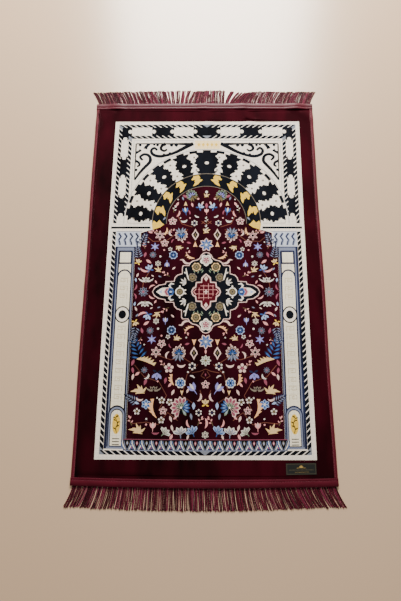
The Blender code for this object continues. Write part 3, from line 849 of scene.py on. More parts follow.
paint("blush", four_ways(MEDALLION))
paint("ink", four_ways(shrunk(MEDALLION, 2.0)))
for yarn, reach, lobe in (("cream", 18, 5), ("ink", 12.5, 3.5), ("cream", 11, 3), ("mauve", 9, 2.5)):
    in_quarters(yarn, shifted(scallops(5, reach, lobe), 0, 92))
for yarn, outline in petals("blush", range(0, 360, 72), 7, 2.6, 1.5):
    in_quarters(yarn, shifted(outline, 0, 92))
for x, y, edge in ((27, 72, "beige"), (38, 41, "drab"), (72, 0, "cream")):  # three rounds
    for yarn, outline in [(edge, scallops(7, 13, 2.6)), ("ink", circle(0, 0, 9.6, 12)),
                          ("olive", circle(0, 0, 8.2, 12)), *petals("drab", range(0, 360, 60), 5, 2.0, 1.5),
                          ("ink", circle(0, 0, 1.8, 8))]:
        in_quarters(yarn, shifted(outline, x, y))
for yarn, outline in petals("cream", (72, 108, 0, 180), 8, 5, 11):
    in_quarters(yarn, shifted(outline, 72, 0))
for x, y, turn in ((13, 54, 30), (17, 60, 45), (23, 52, 10), (31, 54, -20)):
    in_quarters("sage", shifted(turned(petal(11, 3.2), turn), x, y))
in_quarters("cream", ribbon([(56, 68), (54, 56), (51, 44), (48, 34)], [2.0, 3.4, 3.6, 2.0]))
for x, y, turn, length in ((55, 24, -15, 18), (55, 24, -48, 20), (55, 24, -80, 18), (55, 24, -118, 12),
                           (53, 52, -60, 10)):
    in_quarters("cream", shifted(turned(petal(length, 4.4), turn), x, y))
    in_quarters("steel", shifted(turned(petal(length * 0.6, 1.8, length * 0.15, 0.5, 3), turn), x, y))
in_quarters("cream", ribbon([(88, 22), (96, 24), (101, 18), (97, 11), (91, 8)], [2.0, 4.6, 5.0, 4.0, 2.4]))
in_quarters("steel", ribbon([(92, 20), (97, 20), (97, 15)], [1.0, 1.6, 1.0]))
for side in (-1, 1):  # a bud at each tip
    for yarn, shape in (
        ("cream", [(110, -12), (122, -11), (137, 0), (122, 11), (110, 12), (114, 0)]),
        ("sky", [(120, -5), (130, 0), (120, 5), (122, 0)]),
        ("blush", [(101, -13), (110, -12), (117, 0), (110, 12), (101, 13), (107, 0)]),
        ("mauve", [(103, -10), (109, -9), (114, 0), (109, 9), (103, 10), (108, 0)]),
        ("blue", [(92, -10), (101, -12), (107, 0), (101, 12), (92, 10), (87, 0)]),
        ("navy", [(94, -6), (100, -8), (103, 0), (100, 8), (94, 6), (91, 0)]),
        ("sky", [(94, -2.5), (99, -3), (101, 0), (99, 3), (94, 2.5), (92, 0)]),
    ):
        outline = [(side * x, MEDALLION_Y + y) for x, y in shape]
        paint(yarn, outline if side > 0 else outline[::-1])
paint("blush", four_ways(CROSS))
paint("knot", four_ways(shrunk(CROSS, 3.0)))
for x, y0, y1 in ((-19, -20, 12), (-6.5, -24, 20), (6.5, -20, 24), (19, -12, 20)):
    paint("rose", line([(x, MEDALLION_Y + y0), (x, MEDALLION_Y + y1)], 1.0))
for y, x0, x1 in ((-17, -22, 16), (-6, -30, 22), (6, -22, 30), (17, -16, 22)):
    paint("rose", line([(x0, MEDALLION_Y + y), (x1, MEDALLION_Y + y)], 1.0))
paint("blush", rectangle(-1.6, MEDALLION_Y - 6, 1.6, MEDALLION_Y + 6))
paint("blush", rectangle(-7, MEDALLION_Y - 1.4, 7, MEDALLION_Y + 1.4))
for side in (-1, 1):
    paint("blush", shifted([(0, -8), (5.5, 0), (0, 8), (-5.5, 0)], 0, MEDALLION_Y + side * 38))
    tick = [(side * 27, MEDALLION_Y - 8), (side * 34, MEDALLION_Y), (side * 27, MEDALLION_Y + 8)]
    paint("rose", line(tick, 2.2))

# ---- the flowered band across the foot
low, high = FLOWER_BAND
for yarn, y0, y1 in (("ink", low - 1.5, high + 1.5), ("mauve", high, high + 1.5),
                     ("steel", low - 1.5, low + 0.2)):
    paint(yarn, rectangle(-206, y0, 206, y1))
for k in range(-8, 9):
    x = k * FLOWER_PITCH
    for side in (-1, 1):
        for foot, reach, yarn, width in ((1.5, 9.0, "steel", 1.7), (4.5, 11.5, "cream", 1.9),
                                         (8.0, 11.5, "blue", 1.7)):
            x0, x1 = x + side * foot, x + side * (foot + reach * 0.75)
            leaf = [(x0, -462), ((x0 + x1) / 2 + side, -453), (x1, -440.5)]
            paint(yarn, ribbon(leaf, [width, width * 1.3, 0.8]))
    paint("mauve" if k % 2 else "drab", shifted(petal(12, 6.5, -6), x, -447))
    paint("blush" if k % 2 else "sky", shifted(petal(7, 2.8, -3.5), x, -447))
    if k < 8:
        paint("sky", shifted(petal(9, 4.0, -4.5), x + FLOWER_PITCH / 2, -444.5))
        paint("navy", shifted(petal(6, 2.0, -3), x + FLOWER_PITCH / 2, -444.5))
        paint("mauve", shifted([(0, 4), (3.2, 0), (0, -4), (-3.2, 0)], x + FLOWER_PITCH / 2, -457))


# ---- weaving the design into one closed sheet
YARNS = {  # what each dyed yarn looks like, as sRGB
    "maroon": "#230208", "field": "#21020a", "cream": "#f0e7db", "pearl": "#d8d0ca", "ink": "#090c12",
    "gold": "#e8c04c", "sky": "#9aaed6", "mist": "#bec6d8", "blue": "#36568f", "navy": "#181d34",
    "lavender": "#8583c2", "rose": "#e09c9c", "blush": "#dfbdb6", "mauve": "#8c4a5c", "beige": "#dfbd88",
    "peach": "#efb583", "olive": "#675c40",
    "sage": "#7c8c78", "grey": "#7c818c", "steel": "#787f96", "drab": "#7d7468", "shaft": "#f0e8d2",
    "shaft_line": "#b9a983", "tablet": "#ffe3aa", "vine": "#6b4034", "knot": "#380912", "backing": "#5a3a3c",
}


def linear(hex_colour):
    """An sRGB hex colour as linear red, green and blue."""
    parts = [int(hex_colour[i:i + 2], 16) / 255 for i in (1, 3, 5)]
    return tuple(c / 12.92 if c <= 0.04045 else ((c + 0.055) / 1.055) ** 2.4 for c in parts)


def grid_points(outline, spacing):
    """Loose points in rows inside a rectangle, about as far apart as the spacing."""
    x0, y0 = outline[0]
    x1, y1 = outline[2]
    across, along = max(2, round((x1 - x0) / spacing)), max(2, round((y1 - y0) / spacing))
    return [(x0 + (x1 - x0) * i / across, y0 + (y1 - y0) * j / along)
            for i in range(1, across) for j in range(1, along)]


MERGE = 0.02  # points nearer than this become one


def triangulated(outlines, loose):
    """Triangles that follow every outline, each with the number of the topmost outline over its middle."""
    points, edges = [], []
    for outline in outlines:
        first = len(points)
        edges += [(first + k, first + (k + 1) % len(outline)) for k in range(len(outline))]
        points += outline
    corners, _, triangles, sources, _, _ = delaunay_2d_cdt(
        [Vector(p) for p in points + loose], edges, [], 1, MERGE)
    middles = np.array([tuple(c) for c in corners])[np.array(triangles)].mean(axis=1)
    tops = np.zeros(len(triangles), dtype=int)
    for number, outline in enumerate(outlines):
        low, high = np.min(outline, axis=0), np.max(outline, axis=0)
        near = np.flatnonzero(((middles > low) & (middles < high)).all(axis=1))
        x, y = middles[near].T
        turns = np.zeros(len(near), dtype=int)
        for (x0, y0), (x1, y1) in zip(outline, outline[1:] + outline[:1]):
            left = (x1 - x0) * (y - y0) - (x - x0) * (y1 - y0)
            turns += (y0 <= y) & (y1 > y) & (left > 0)
            turns -= (y0 > y) & (y1 <= y) & (left < 0)
        tops[near[turns != 0]] = number
    return corners, triangles, tops, sources


def dye(mesh, attribute, faces, colours):
    """Stores each face's colour at its corners."""
    corners = np.array([(*linear(c), 1.0) for f, c in zip(faces, colours) for _ in f], dtype=np.float32)
    mesh.attributes.new(attribute, "FLOAT_COLOR", "CORNER").data.foreach_set("color", corners.ravel())


def new_piece(name, points, faces):
    mesh = bpy.data.meshes.new(name)
    mesh.from_pydata(points, [], faces)
    piece = bpy.data.objects.new(name, mesh)
    bpy.context.scene.collection.objects.link(piece)
    return piece


def woven_sheet(name, outline, shapes, ground, backing, spacing, top, under):
    """A closed sheet. Its face is cut along the shapes of the design, and its back is one plain weave.
    The spacings are of the loose points in its face and in its back."""
    corners, triangles, tops, _ = triangulated(
        [outline] + [s for _, s in shapes], grid_points(outline, spacing[0]))
    yarns = [ground] + [yarn for yarn, _ in shapes]
    edges = {edge: True for a, b, c in triangles for edge in ((a, b), (b, c), (c, a))}
    rim_next = {a: b for a, b in edges if (b, a) not in edges}
    rim = [next(iter(rim_next))]
    while rim_next[rim[-1]] != rim[0]:
        rim.append(rim_next[rim[-1]])
    rim_flat = [tuple(corners[i]) for i in rim]
    back_corners, back_triangles, _, sources = triangulated([rim_flat], grid_points(outline, spacing[1]))

    points = [laid(x, y, top(x, y)) for x, y in corners]
    back_start = len(points)
    points += [laid(x, y, under(x, y)) for x, y in back_corners]
    back_of = {}
    for i, source in enumerate(sources):
        for s in source:
            if s < len(rim):
                back_of[s] = back_start + i
    faces = [tuple(t) for t in triangles]
    colours = [yarns[t] for t in tops]
    faces += [tuple(back_start + i for i in reversed(t)) for t in back_triangles]
    colours += [backing] * len(back_triangles)
    for k, a in enumerate(rim):
        n = (k + 1) % len(rim)
        faces.append((rim[n], a, back_of[k], back_of[n]))
        colours.append(ground)

    piece = new_piece(name, points, faces)
    dye(piece.data, "yarn", faces, [YARNS[yarn] for yarn in colours])
    piece.data.validate()
    return piece


def select_only(piece):
    bpy.ops.object.select_all(action="DESELECT")
    piece.select_set(True)
    bpy.context.view_layer.objects.active = piece


def smooth(piece, degrees):
    select_only(piece)
    bpy.ops.object.shade_smooth_by_angle(angle=math.radians(degrees))


cloth_outline = rectangle(-CLOTH_HALF_WIDTH, -CLOTH_HALF_LENGTH, CLOTH_HALF_WIDTH, CLOTH_HALF_LENGTH)
pile = woven_sheet("pile", cloth_outline, design, "maroon", "backing", (9.0, 22.0), pile_top, cloth_under)
smooth(pile, 35)


# cut pile velvet: matte, with a soft sheen where the tufts are seen from the side
def new_material(name):
    made = bpy.data.materials.new(name)
    made.use_nodes = True
    made.node_tree.nodes.clear()
    return made


def add_node(material, kind, inputs=None, output=0, **settings):
    """Adds a node and gives its output. An input is a value, or the output of another node."""
    tree = material.node_tree
    node = tree.nodes.new(kind)
    for key, value in settings.items():
        setattr(node, key, value)
    for key, value in (inputs or {}).items():
        if isinstance(value, bpy.types.NodeSocket):
            tree.links.new(value, node.inputs[key])
        else:
            node.inputs[key].default_value = value
    return node.outputs[output] if node.outputs else None


def surface(material, colour, normal, **values):
    """Ends the material in a Principled shader, with its uniform values on the shader's own sockets.
    A colour that is the same all over is given as sRGB hex."""
    inputs = {"Base Color": colour, "Normal": normal}
    inputs.update({key.replace("_", " "): value for key, value in values.items()})
    for key, value in inputs.items():
        if isinstance(value, str):
            inputs[key] = (*linear(value), 1.0)
    shader = add_node(material, "ShaderNodeBsdfPrincipled", inputs)
    add_node(material, "ShaderNodeOutputMaterial", {"Surface": shader})


velvet = new_material("cut_pile_velvet")
TUFT = 1.6 * MM  # a tuft's pitch, drawn at nearly twice the real 0.9 mm so that it shows
NAP = 70 * MM  # the size of a patch that a hand has brushed
QUILT = 10.5 * MM  # the side of a square
coordinates = add_node(velvet, "ShaderNodeTexCoord", output="Object")
yarn_colour = add_node(velvet, "ShaderNodeAttribute", attribute_name="yarn")
lightness = add_node(velvet, "ShaderNodeRGBToBW", {"Color": yarn_colour})
tufts = add_node(velvet, "ShaderNodeTexNoise", {"Vector": coordinates, "Scale": 1 / TUFT, "Detail": 2.0})
tuft_shade = add_node(velvet, "ShaderNodeMapRange", {
    "Value": tufts, "From Min": 0.3, "From Max": 0.7, "To Min": 0.78, "To Max": 1.14})
# the nap: brushed patches of random tone, plus painted sheen that makes the pile lighter to the right and to
# the arch end, where the light from beyond that end catches it; both show on the dark yarns
brushed = add_node(velvet, "ShaderNodeMapping", {"Vector": coordinates, "Scale": (1.0, 0.35, 1.0)})
nap = add_node(velvet, "ShaderNodeTexNoise", {"Vector": brushed, "Scale": 1 / NAP, "Detail": 3.0})
nap_and_painted_sheen = add_node(velvet, "ShaderNodeMapRange", {
    "Value": nap, "From Min": 0.35, "From Max": 0.68, "To Min": -0.35, "To Max": 1.2})
# painted sheen: the dark pile's colour grows lighter to the right and towards the arch end
painted_sheen_gradient = add_node(velvet, "ShaderNodeVectorMath", {0: coordinates, 1: (1.2, 0.45, 0.0)}, "Value",
                       operation="DOT_PRODUCT")
nap_and_painted_sheen = add_node(velvet, "ShaderNodeMath", {0: nap_and_painted_sheen, 1: painted_sheen_gradient}, operation="ADD")
nap_and_sheen_share = add_node(velvet, "ShaderNodeMapRange", {
    "Value": lightness, "From Min": 0.01, "From Max": 0.12, "To Min": 1.0, "To Max": 0.06})
nap_and_sheen_part = add_node(velvet, "ShaderNodeMath", {0: nap_and_painted_sheen, 1: nap_and_sheen_share, 2: 1.0}, operation="MULTIPLY_ADD")
# the ground weave draws the light yarns into faint squares, a low quilted relief; painted shade darkens the
# light yarns along its grooves
quilt = add_node(velvet, "ShaderNodeTexBrick", {
    "Vector": coordinates, "Scale": 1.0, "Mortar Size": 0.8 * MM, "Mortar Smooth": 0.6,
    "Brick Width": QUILT, "Row Height": QUILT}, "Fac", offset=0.0)
groove_shade_depth = add_node(velvet, "ShaderNodeMapRange", {
    "Value": lightness, "From Min": 0.3, "From Max": 0.6, "To Min": 0.0, "To Max": -0.16})
painted_groove_shade = add_node(velvet, "ShaderNodeMath", {0: quilt, 1: groove_shade_depth, 2: 1.0}, operation="MULTIPLY_ADD")
shade = add_node(velvet, "ShaderNodeMath", {0: tuft_shade, 1: nap_and_sheen_part}, operation="MULTIPLY")
shade = add_node(velvet, "ShaderNodeMath", {0: shade, 1: painted_groove_shade}, operation="MULTIPLY")
shaded = add_node(velvet, "ShaderNodeVectorMath", {0: yarn_colour, "Scale": shade}, operation="SCALE")
bump = add_node(velvet, "ShaderNodeBump", {"Height": tufts, "Strength": 0.5, "Distance": 0.5 * MM})
surface(velvet, shaded, bump, Roughness=0.95, Specular_IOR_Level=0.04, Sheen_Weight=0.36,
        Sheen_Roughness=0.32, Sheen_Tint="#ffbcc2")
pile.data.materials.append(velvet)
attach(pile, "root")
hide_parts("pile_cloth")

# ================================================================ side bindings
# A plain-woven polyester tape, folded over each long edge and sewn through it with one line of thread. It
# stops where the end bands begin.
BINDING_THICK = 1.1
BINDING_FLANGE = 9.0
BINDING_TOP = 5.0
BINDING_PAD_AT = 2.5
BINDING_SEAM_AT = 6.9
BINDING_END = 529.7
STITCH_PITCH = 4.0
STITCH_LENGTH = 3.1
THREAD_RADIUS = 0.32


def tape_section(flange, bottom, top, thick, crown, steps=8):
    """A tape folded over an edge, as pairs of points (outside, inside) along it. A point is how far in from
    the edge it lies, and its height. The crown says how far the upper leaf stands up at each distance in."""
    radius = (top - bottom) / 2
    middle = (top + bottom) / 2
    pairs = [((s, bottom), (s, bottom + thick)) for s in (flange, radius * 2)]
    for k in range(steps + 1):
        t = math.pi * (k / steps - 0.5)
        outer = (radius - radius * math.cos(t), middle + radius * math.sin(t))
        inner = (radius - (radius - thick) * math.cos(t), middle + (radius - thick) * math.sin(t))
        pairs.append((outer, inner))
    places = np.linspace(radius, flange, 15)[1:]
    return pairs + [((s, top + crown(s)), (s, top - thick)) for s in places]


def folded_tape(stations, section, put, pinch=lambda at: 0.0, mouth=0.0):
    """Points and faces of a tape along its stations. The pinch at a station, 0 to 1, draws the tape's inside
    to the height of the mouth, which closes the fold there."""
    points, faces = [], []
    for at in stations:
        for outer, (s, z) in section(at):
            points.append(put(at, *outer))
            points.append(put(at, s, z + (mouth - z) * pinch(at)))
    row = len(points) // len(stations)
    for a in range(0, len(points) - row, row):
        b = a + row
        for k in range(0, row - 2, 2):
            faces.append((a + k, b + k, b + k + 2, a + k + 2))
            faces.append((a + k + 1, a + k + 3, b + k + 3, b + k + 1))
        faces.append((a, a + 1, b + 1, b))
        faces.append((b - 2, b + row - 2, b + row - 1, b - 1))
    for start, turn in ((0, 1), (len(points) - row, -1)):
        for a in range(start, start + row - 2, 2):
            faces.append((a, a + 2, a + 3, a + 1)[::turn])
    return points, faces


def thread_run(centres, radius, first, sides=5):
    """A round thread through its centres, in metres, closed at both ends. Its points count from first."""
    points, faces = [], []
    for i, centre in enumerate(centres):
        ahead = (Vector(centres[min(i + 1, len(centres) - 1)]) - Vector(centres[max(i - 1, 0)])).normalized()
        across = ahead.cross(Vector((0, 0, 1))).normalized()
        up = across.cross(ahead)
        for k in range(sides):
            t = 2 * math.pi * k / sides
            points.append(Vector(centre) + radius * (across * math.cos(t) + up * math.sin(t)))
    for i in range(len(centres) - 1):
        for k in range(sides):
            a, b = first + i * sides + k, first + i * sides + (k + 1) % sides
            faces.append((a, b, b + sides, a + sides))
    last = first + (len(centres) - 1) * sides
    faces.append(tuple(first + k for k in reversed(range(sides))))
    faces.append(tuple(last + k for k in range(sides)))
    return points, faces


def sewn_piece(name, points, faces, body_material, stitches=(), thread_material=None):
    """One mesh of a body and the stitches sewn in it, with outward faces."""
    body_faces = len(faces)
    for centres in stitches:
        more_points, more_faces = thread_run(centres, THREAD_RADIUS * MM, len(points))
        points += more_points
        faces += more_faces
    piece = new_piece(name, [tuple(p) for p in points], faces)
    piece.data.materials.append(body_material)
    if stitches:
        piece.data.materials.append(thread_material)
        for polygon in piece.data.polygons[body_faces:]:
            polygon.material_index = 1
    select_only(piece)
    bpy.ops.object.mode_set(mode="EDIT")
    bpy.ops.mesh.select_all(action="SELECT")
    bpy.ops.mesh.normals_make_consistent(inside=False)
    bpy.ops.object.mode_set(mode="OBJECT")
    smooth(piece, 50)
    return piece


def stitch(at, seam, top, rise, put, slant=0.0):
    """The middle of one stitch's thread, which comes up through the tape and goes down again."""
    return [put(at + STITCH_LENGTH * (t - 0.5), seam + slant * (t - 0.5), top + rise * math.sin(math.pi * t))
            for t in (0.0, 0.25, 0.5, 0.75, 1.0)]


RIB_SCALE = 0.314  # a wave texture at this scale over the pitch, in metres, has one rib to the pitch


def woven(name, hex_colour, thread, depth, **finish):
    """A woven material: ribs one thread apart, and slow patches of lighter and darker yarn."""
    material = new_material(name)
    coordinates = add_node(material, "ShaderNodeTexCoord", output="Object")
    ribs = add_node(material, "ShaderNodeTexWave", {
        "Vector": coordinates, "Scale": RIB_SCALE / thread, "Distortion": 0.8, "Detail": 1.0}, "Fac",
        bands_direction="DIAGONAL")
    patches = add_node(material, "ShaderNodeTexNoise", {
        "Vector": coordinates, "Scale": 1 / (50 * MM), "Detail": 2.0})
    rib_shade = add_node(material, "ShaderNodeMapRange", {"Value": ribs, "To Min": 0.8, "To Max": 1.1})
    patch_shade = add_node(material, "ShaderNodeMapRange", {
        "Value": patches, "From Min": 0.3, "From Max": 0.7, "To Min": 0.84, "To Max": 1.14})
    shade = add_node(material, "ShaderNodeMath", {0: rib_shade, 1: patch_shade}, operation="MULTIPLY")
    colour = add_node(material, "ShaderNodeVectorMath", {0: linear(hex_colour), "Scale": shade},
                      operation="SCALE")
    bump = add_node(material, "ShaderNodeBump", {"Height": ribs, "Strength": 0.4, "Distance": depth})
    surface(material, colour, bump, **finish)
    return material


# plain-woven polyester tape: its ribs are drawn 1.2 mm apart, wider than the real 0.5 mm
tape = woven("woven_polyester_tape", "#520d1d", 1.2 * MM, 0.1 * MM, Roughness=0.62, Specular_IOR_Level=0.15,
             Sheen_Weight=0.4, Sheen_Roughness=0.4, Sheen_Tint="#ffbcc2")

# spun polyester sewing thread, a little glossier than the tape
sewing = woven("sewing_thread", "#8a3c50", 0.5 * MM, 0.05 * MM, Roughness=0.45, Specular_IOR_Level=0.5)


def binding_crown(at):
    """The tape's upper leaf: padded between the fold and the seam, pulled down at each stitch."""
    pull = 0.5 + 0.5 * math.cos(2 * math.pi * at / STITCH_PITCH)

    def crown(s):
        t = min(1.0, max(0.0, (s - BINDING_PAD_AT) / (BINDING_SEAM_AT - BINDING_PAD_AT)))
        padding = 0.35 * math.sin(math.pi * t)
        return padding - (0.25 + 0.3 * pull) * math.exp(-(((s - BINDING_SEAM_AT) / 0.7) ** 2))
    return crown


for side, name in ((-1, "binding_left"), (1, "binding_right")):
    def on_side(at, s, z, side=side):
        return laid(side * (RUG_HALF_WIDTH - s), at, z)

    points, faces = folded_tape(
        np.linspace(-BINDING_END, BINDING_END, 1061),
        lambda at: tape_section(BINDING_FLANGE, 0.0, BINDING_TOP, BINDING_THICK, binding_crown(at), 6),
        on_side)
    stitches = []
    for k in range(int(2 * BINDING_END / STITCH_PITCH) - 1):
        at = -BINDING_END + (k + 1) * STITCH_PITCH
        stitches.append(stitch(at, BINDING_SEAM_AT, BINDING_TOP - 0.55, 0.65, on_side, 0.5))
    piece = sewn_piece(name, points, faces, tape, stitches, sewing)
    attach(piece, "root")
    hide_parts(name)

# ================================================================ end bands
# A satin tape folded over each end and the fringe's header. One sewn line pulls it down into two padded
# ridges, and its ends are tucked in at the corners.
BAND_THICK = 0.9
BAND_FLANGE = 19.8
BAND_BOTTOM = 1.3
BAND_TOP = 5.2
BAND_GROOVE_AT = 14.0
BAND_OUTER_RIDGE = 0.95
BAND_INNER_RIDGE = 0.65
BAND_FOLD = 1.95  # the fold's own round
BAND_TUCK = 1.6
BAND_MOUTH = 3.2  # the height at which the tucked ends close
PUCKER = 0.16

# polyester satin: glossier than the tape, its warp drawn 0.9 mm apart against a real 0.2 mm
satin = woven("band_satin", "#4c0a1c", 0.9 * MM, 0.06 * MM, Roughness=0.42, Specular_IOR_Level=0.15,
              Sheen_Weight=1.0, Sheen_Roughness=0.22, Sheen_Tint="#ff9eb1")


def band_crown(at):
    """Two padded ridges with small puckers where the stitches gather them."""
    pull = 0.5 + 0.5 * math.cos(2 * math.pi * at / STITCH_PITCH)
    slow = math.sin(at / 9.0) + 0.6 * math.sin(at / 3.7 + 1.0)

    def crown(s):
        if s < BAND_GROOVE_AT:
            ridge, t = BAND_OUTER_RIDGE, max(0.0, (s - BAND_FOLD) / (BAND_GROOVE_AT - BAND_FOLD))
        else:
            ridge, t = BAND_INNER_RIDGE, min(1.0, (s - BAND_GROOVE_AT) / (BAND_FLANGE - BAND_GROOVE_AT))
        height = ridge * math.sin(math.pi * t) ** 0.8 * (1 + 0.12 * slow)
        near = math.exp(-(((s - BAND_GROOVE_AT) / 2.6) ** 2))
        return height - PUCKER * pull * near - 0.25 * pull * math.exp(-(((s - BAND_GROOVE_AT) / 0.8) ** 2))
    return crown


def tucked(at):
    return smoothstep((abs(at) - RUG_HALF_WIDTH + BAND_TUCK) / BAND_TUCK)


tuck = list(np.linspace(RUG_HALF_WIDTH - BAND_TUCK, RUG_HALF_WIDTH, 5))
band_stations = [-x for x in reversed(tuck)] + list(np.linspace(-328.0, 328.0, 657)) + tuck
for end, name in ((1, "band_arch_end"), (-1, "band_foot_end")):
    def on_end(at, s, z, end=end):
        return laid(at, end * (RUG_HALF_LENGTH - s), z)

    points, faces = folded_tape(
        band_stations,
        lambda at: tape_section(BAND_FLANGE, BAND_BOTTOM, BAND_TOP, BAND_THICK, band_crown(at)),
        on_end, tucked, BAND_MOUTH)
    stitches = []
    for k in range(int(2 * RUG_HALF_WIDTH / STITCH_PITCH) - 2):
        at = -RUG_HALF_WIDTH + (k + 1.5) * STITCH_PITCH
        stitches.append(stitch(at, BAND_GROOVE_AT, BAND_TOP - 0.45, 0.55, on_end))
    piece = sewn_piece(name, points, faces, satin, stitches, sewing)
    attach(piece, "root")
    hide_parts(name)

# ================================================================ fringes
# One comb of spun yarn at each end: a flat woven header, sewn in under the band, and tassels of twisted
# two-ply cords that lie on the floor and lean where they were brushed.
TASSEL_PITCH = 12.5
TASSEL_WIDTH = 11.6
TASSEL_COUNT = 52
CORDS = 9
PLY_RADIUS = 0.56
TWIST_RADIUS = 0.46
TWIST_PITCH = 11.0
CORD_STEPS = 22
HEADER_INSET = 1.0
HEADER_DEPTH = 9.0
HEADER_THICK = 1.0
ARCH_LEAN = (  # place along the end, how far the tassel's tip lies to the right of its root
    (-330, -20), (-270, -20), (-200, -17), (-140, -13), (-100, -9), (-75, 3), (-40, 16), (-10, 10), (25, 2),
    (55, 1), (75, 26), (105, 27), (140, 20), (180, 17), (215, 22), (255, 20), (290, 17), (330, 21),
)
FOOT_LEAN = (
    (-330, -19), (-290, -19), (-250, -15), (-210, -9), (-160, -4), (-110, -1), (-60, 1), (0, 2), (50, 5),
    (100, 9), (150, 15), (200, 20), (250, 23), (290, 23), (330, 21),
)

# spun viscose yarn: each cord's dye lot runs from deep maroon to dusty pink
FIBRE = 1.2 * MM  # a lock of fibres, drawn far coarser than real so that it shows
yarn = new_material("spun_viscose_yarn")
lot = add_node(yarn, "ShaderNodeAttribute", attribute_name="lot")
coordinates = add_node(yarn, "ShaderNodeTexCoord", output="Object")
fibres = add_node(yarn, "ShaderNodeTexNoise", {"Vector": coordinates, "Scale": 1 / FIBRE, "Detail": 2.0})
fibre_shade = add_node(yarn, "ShaderNodeMapRange", {
    "Value": fibres, "From Min": 0.3, "From Max": 0.7, "To Min": 0.75, "To Max": 1.2})
colour = add_node(yarn, "ShaderNodeVectorMath", {0: lot, "Scale": fibre_shade}, operation="SCALE")
bump = add_node(yarn, "ShaderNodeBump", {"Height": fibres, "Strength": 0.4, "Distance": 0.1 * MM})
surface(yarn, colour, bump, Roughness=0.5, Specular_IOR_Level=0.25, Sheen_Weight=1.0, Sheen_Roughness=0.3,
        Sheen_Tint="#ffbccb")
YARN_LOTS = ("#22020b", "#30040f", "#400817", "#541022", "#6c1c34", "#883652")


def lean_at(table, x):
    """Read from the table of leans, between its two nearest rows."""
    for (x0, lean0), (x1, lean1) in zip(table, table[1:]):
        if x <= x1:
            return lean0 + (lean1 - lean0) * min(1.0, max(0.0, (x - x0) / (x1 - x0)))
    return table[-1][1]


def cord(draw, root_x, root_y, offset, end, lean, length):
    """The two plies of one cord, as centre lines in metres with a frayed tip."""
    length *= draw.uniform(0.93, 1.0)
    lean = lean + draw.gauss(0, 0.9) + offset * draw.uniform(-0.1, 0.35)
    fall = math.sqrt(length**2 - lean**2)
    wave = draw.uniform(-0.7, 0.7)
    wave_turn = draw.uniform(2.5, 5.0)
    layer = draw.choice((0, 0, 0.43, 0.78))  # most cords lie on the floor and some on the others
    twist = draw.uniform(0, math.pi)
    plies = ([], [])
    for k in range(CORD_STEPS + 1):
        t = k / CORD_STEPS
        x = root_x + offset + lean * t**1.4 + wave * math.sin(wave_turn * t)
        y = root_y + end * fall * t
        opened = TWIST_RADIUS * min(1.0, t / 0.08)  # pressed flat where the band covers it
        z = PLY_RADIUS + 0.05 + opened + layer * math.sin(math.pi * min(1.0, 1.15 * t)) ** 0.6
        spin = twist + 2 * math.pi * length * t / TWIST_PITCH
        reach = opened * (1 + 1.4 * max(0.0, t - 0.9) / 0.1)
        for ply, turn in zip(plies, (0.0, math.pi)):
            ply.append(((x + reach * math.cos(spin + turn)) * MM, y * MM,
                        (z + opened * math.sin(spin + turn)) * MM))
    return plies


for end, table, length, seed, name in (  # the length is a cord's, past the header
    (1, ARCH_LEAN, 52.0, 11, "fringe_arch_end"), (-1, FOOT_LEAN, 55.0, 23, "fringe_foot_end"),
):
    draw = random.Random(seed)
    first = -(TASSEL_COUNT - 1) / 2 * TASSEL_PITCH
    header = [first - TASSEL_WIDTH / 2 + k * TASSEL_PITCH / 2 for k in range(2 * TASSEL_COUNT)]
    header[-1] = -header[0]
    points = []
    for x in header:
        for inset, z in ((HEADER_INSET, 0.0), (HEADER_INSET, HEADER_THICK),
                         (HEADER_INSET + HEADER_DEPTH, HEADER_THICK), (HEADER_INSET + HEADER_DEPTH, 0.0)):
            points.append((*laid(x, end * (RUG_HALF_LENGTH - inset), z)[:2], z * MM))
    faces = [(a + k, a + 4 + k, a + 4 + n, a + n)
             for a in range(0, len(points) - 4, 4) for k, n in ((0, 1), (1, 2), (2, 3), (3, 0))]
    faces += [(0, 1, 2, 3), tuple(range(len(points) - 1, len(points) - 5, -1))]
    shades = [1] * len(faces)
    for i in range(TASSEL_COUNT):
        root = first + i * TASSEL_PITCH
        root_x, root_y, _ = laid(root, end * (RUG_HALF_LENGTH - HEADER_INSET - 1.5), 0)
        tassel_lean = lean_at(table, root) + draw.uniform(-0.6, 0.6)
        tassel_length = length * draw.uniform(0.97, 1.0) + 1.5
        for j in range(CORDS):
            offset = (j - (CORDS - 1) / 2) * (TASSEL_WIDTH - 1.5) / (CORDS - 1) + draw.uniform(-0.3, 0.3)
            shade_of_cord = draw.choice((0, 1, 1, 2, 2, 3, 3, 4, 5))
            for ply in cord(draw, root_x / MM, root_y / MM, offset, end, tassel_lean, tassel_length):
                more_points, more_faces = thread_run(ply, PLY_RADIUS * MM, len(points), 4)
                points += [tuple(p) for p in more_points]
                faces += more_faces
                shades += [min(5, max(0, shade_of_cord + draw.choice((-1, 0, 0, 1))))] * len(more_faces)
    piece = sewn_piece(name, points, faces, yarn)
    dye(piece.data, "lot", faces, [YARN_LOTS[shade] for shade in shades])
    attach(piece, "root")
    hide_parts(name)

# ================================================================ label
# A damask-woven patch of polyester, sewn down flat into the pile near the foot. It shows a leaf and a plain
# ornament, with no words.
LABEL_BOTTOM = 4.8
label_shapes = []


def on_label(name, outline):
    label_shapes.append((name, shifted(outline, *LABEL_AT)))


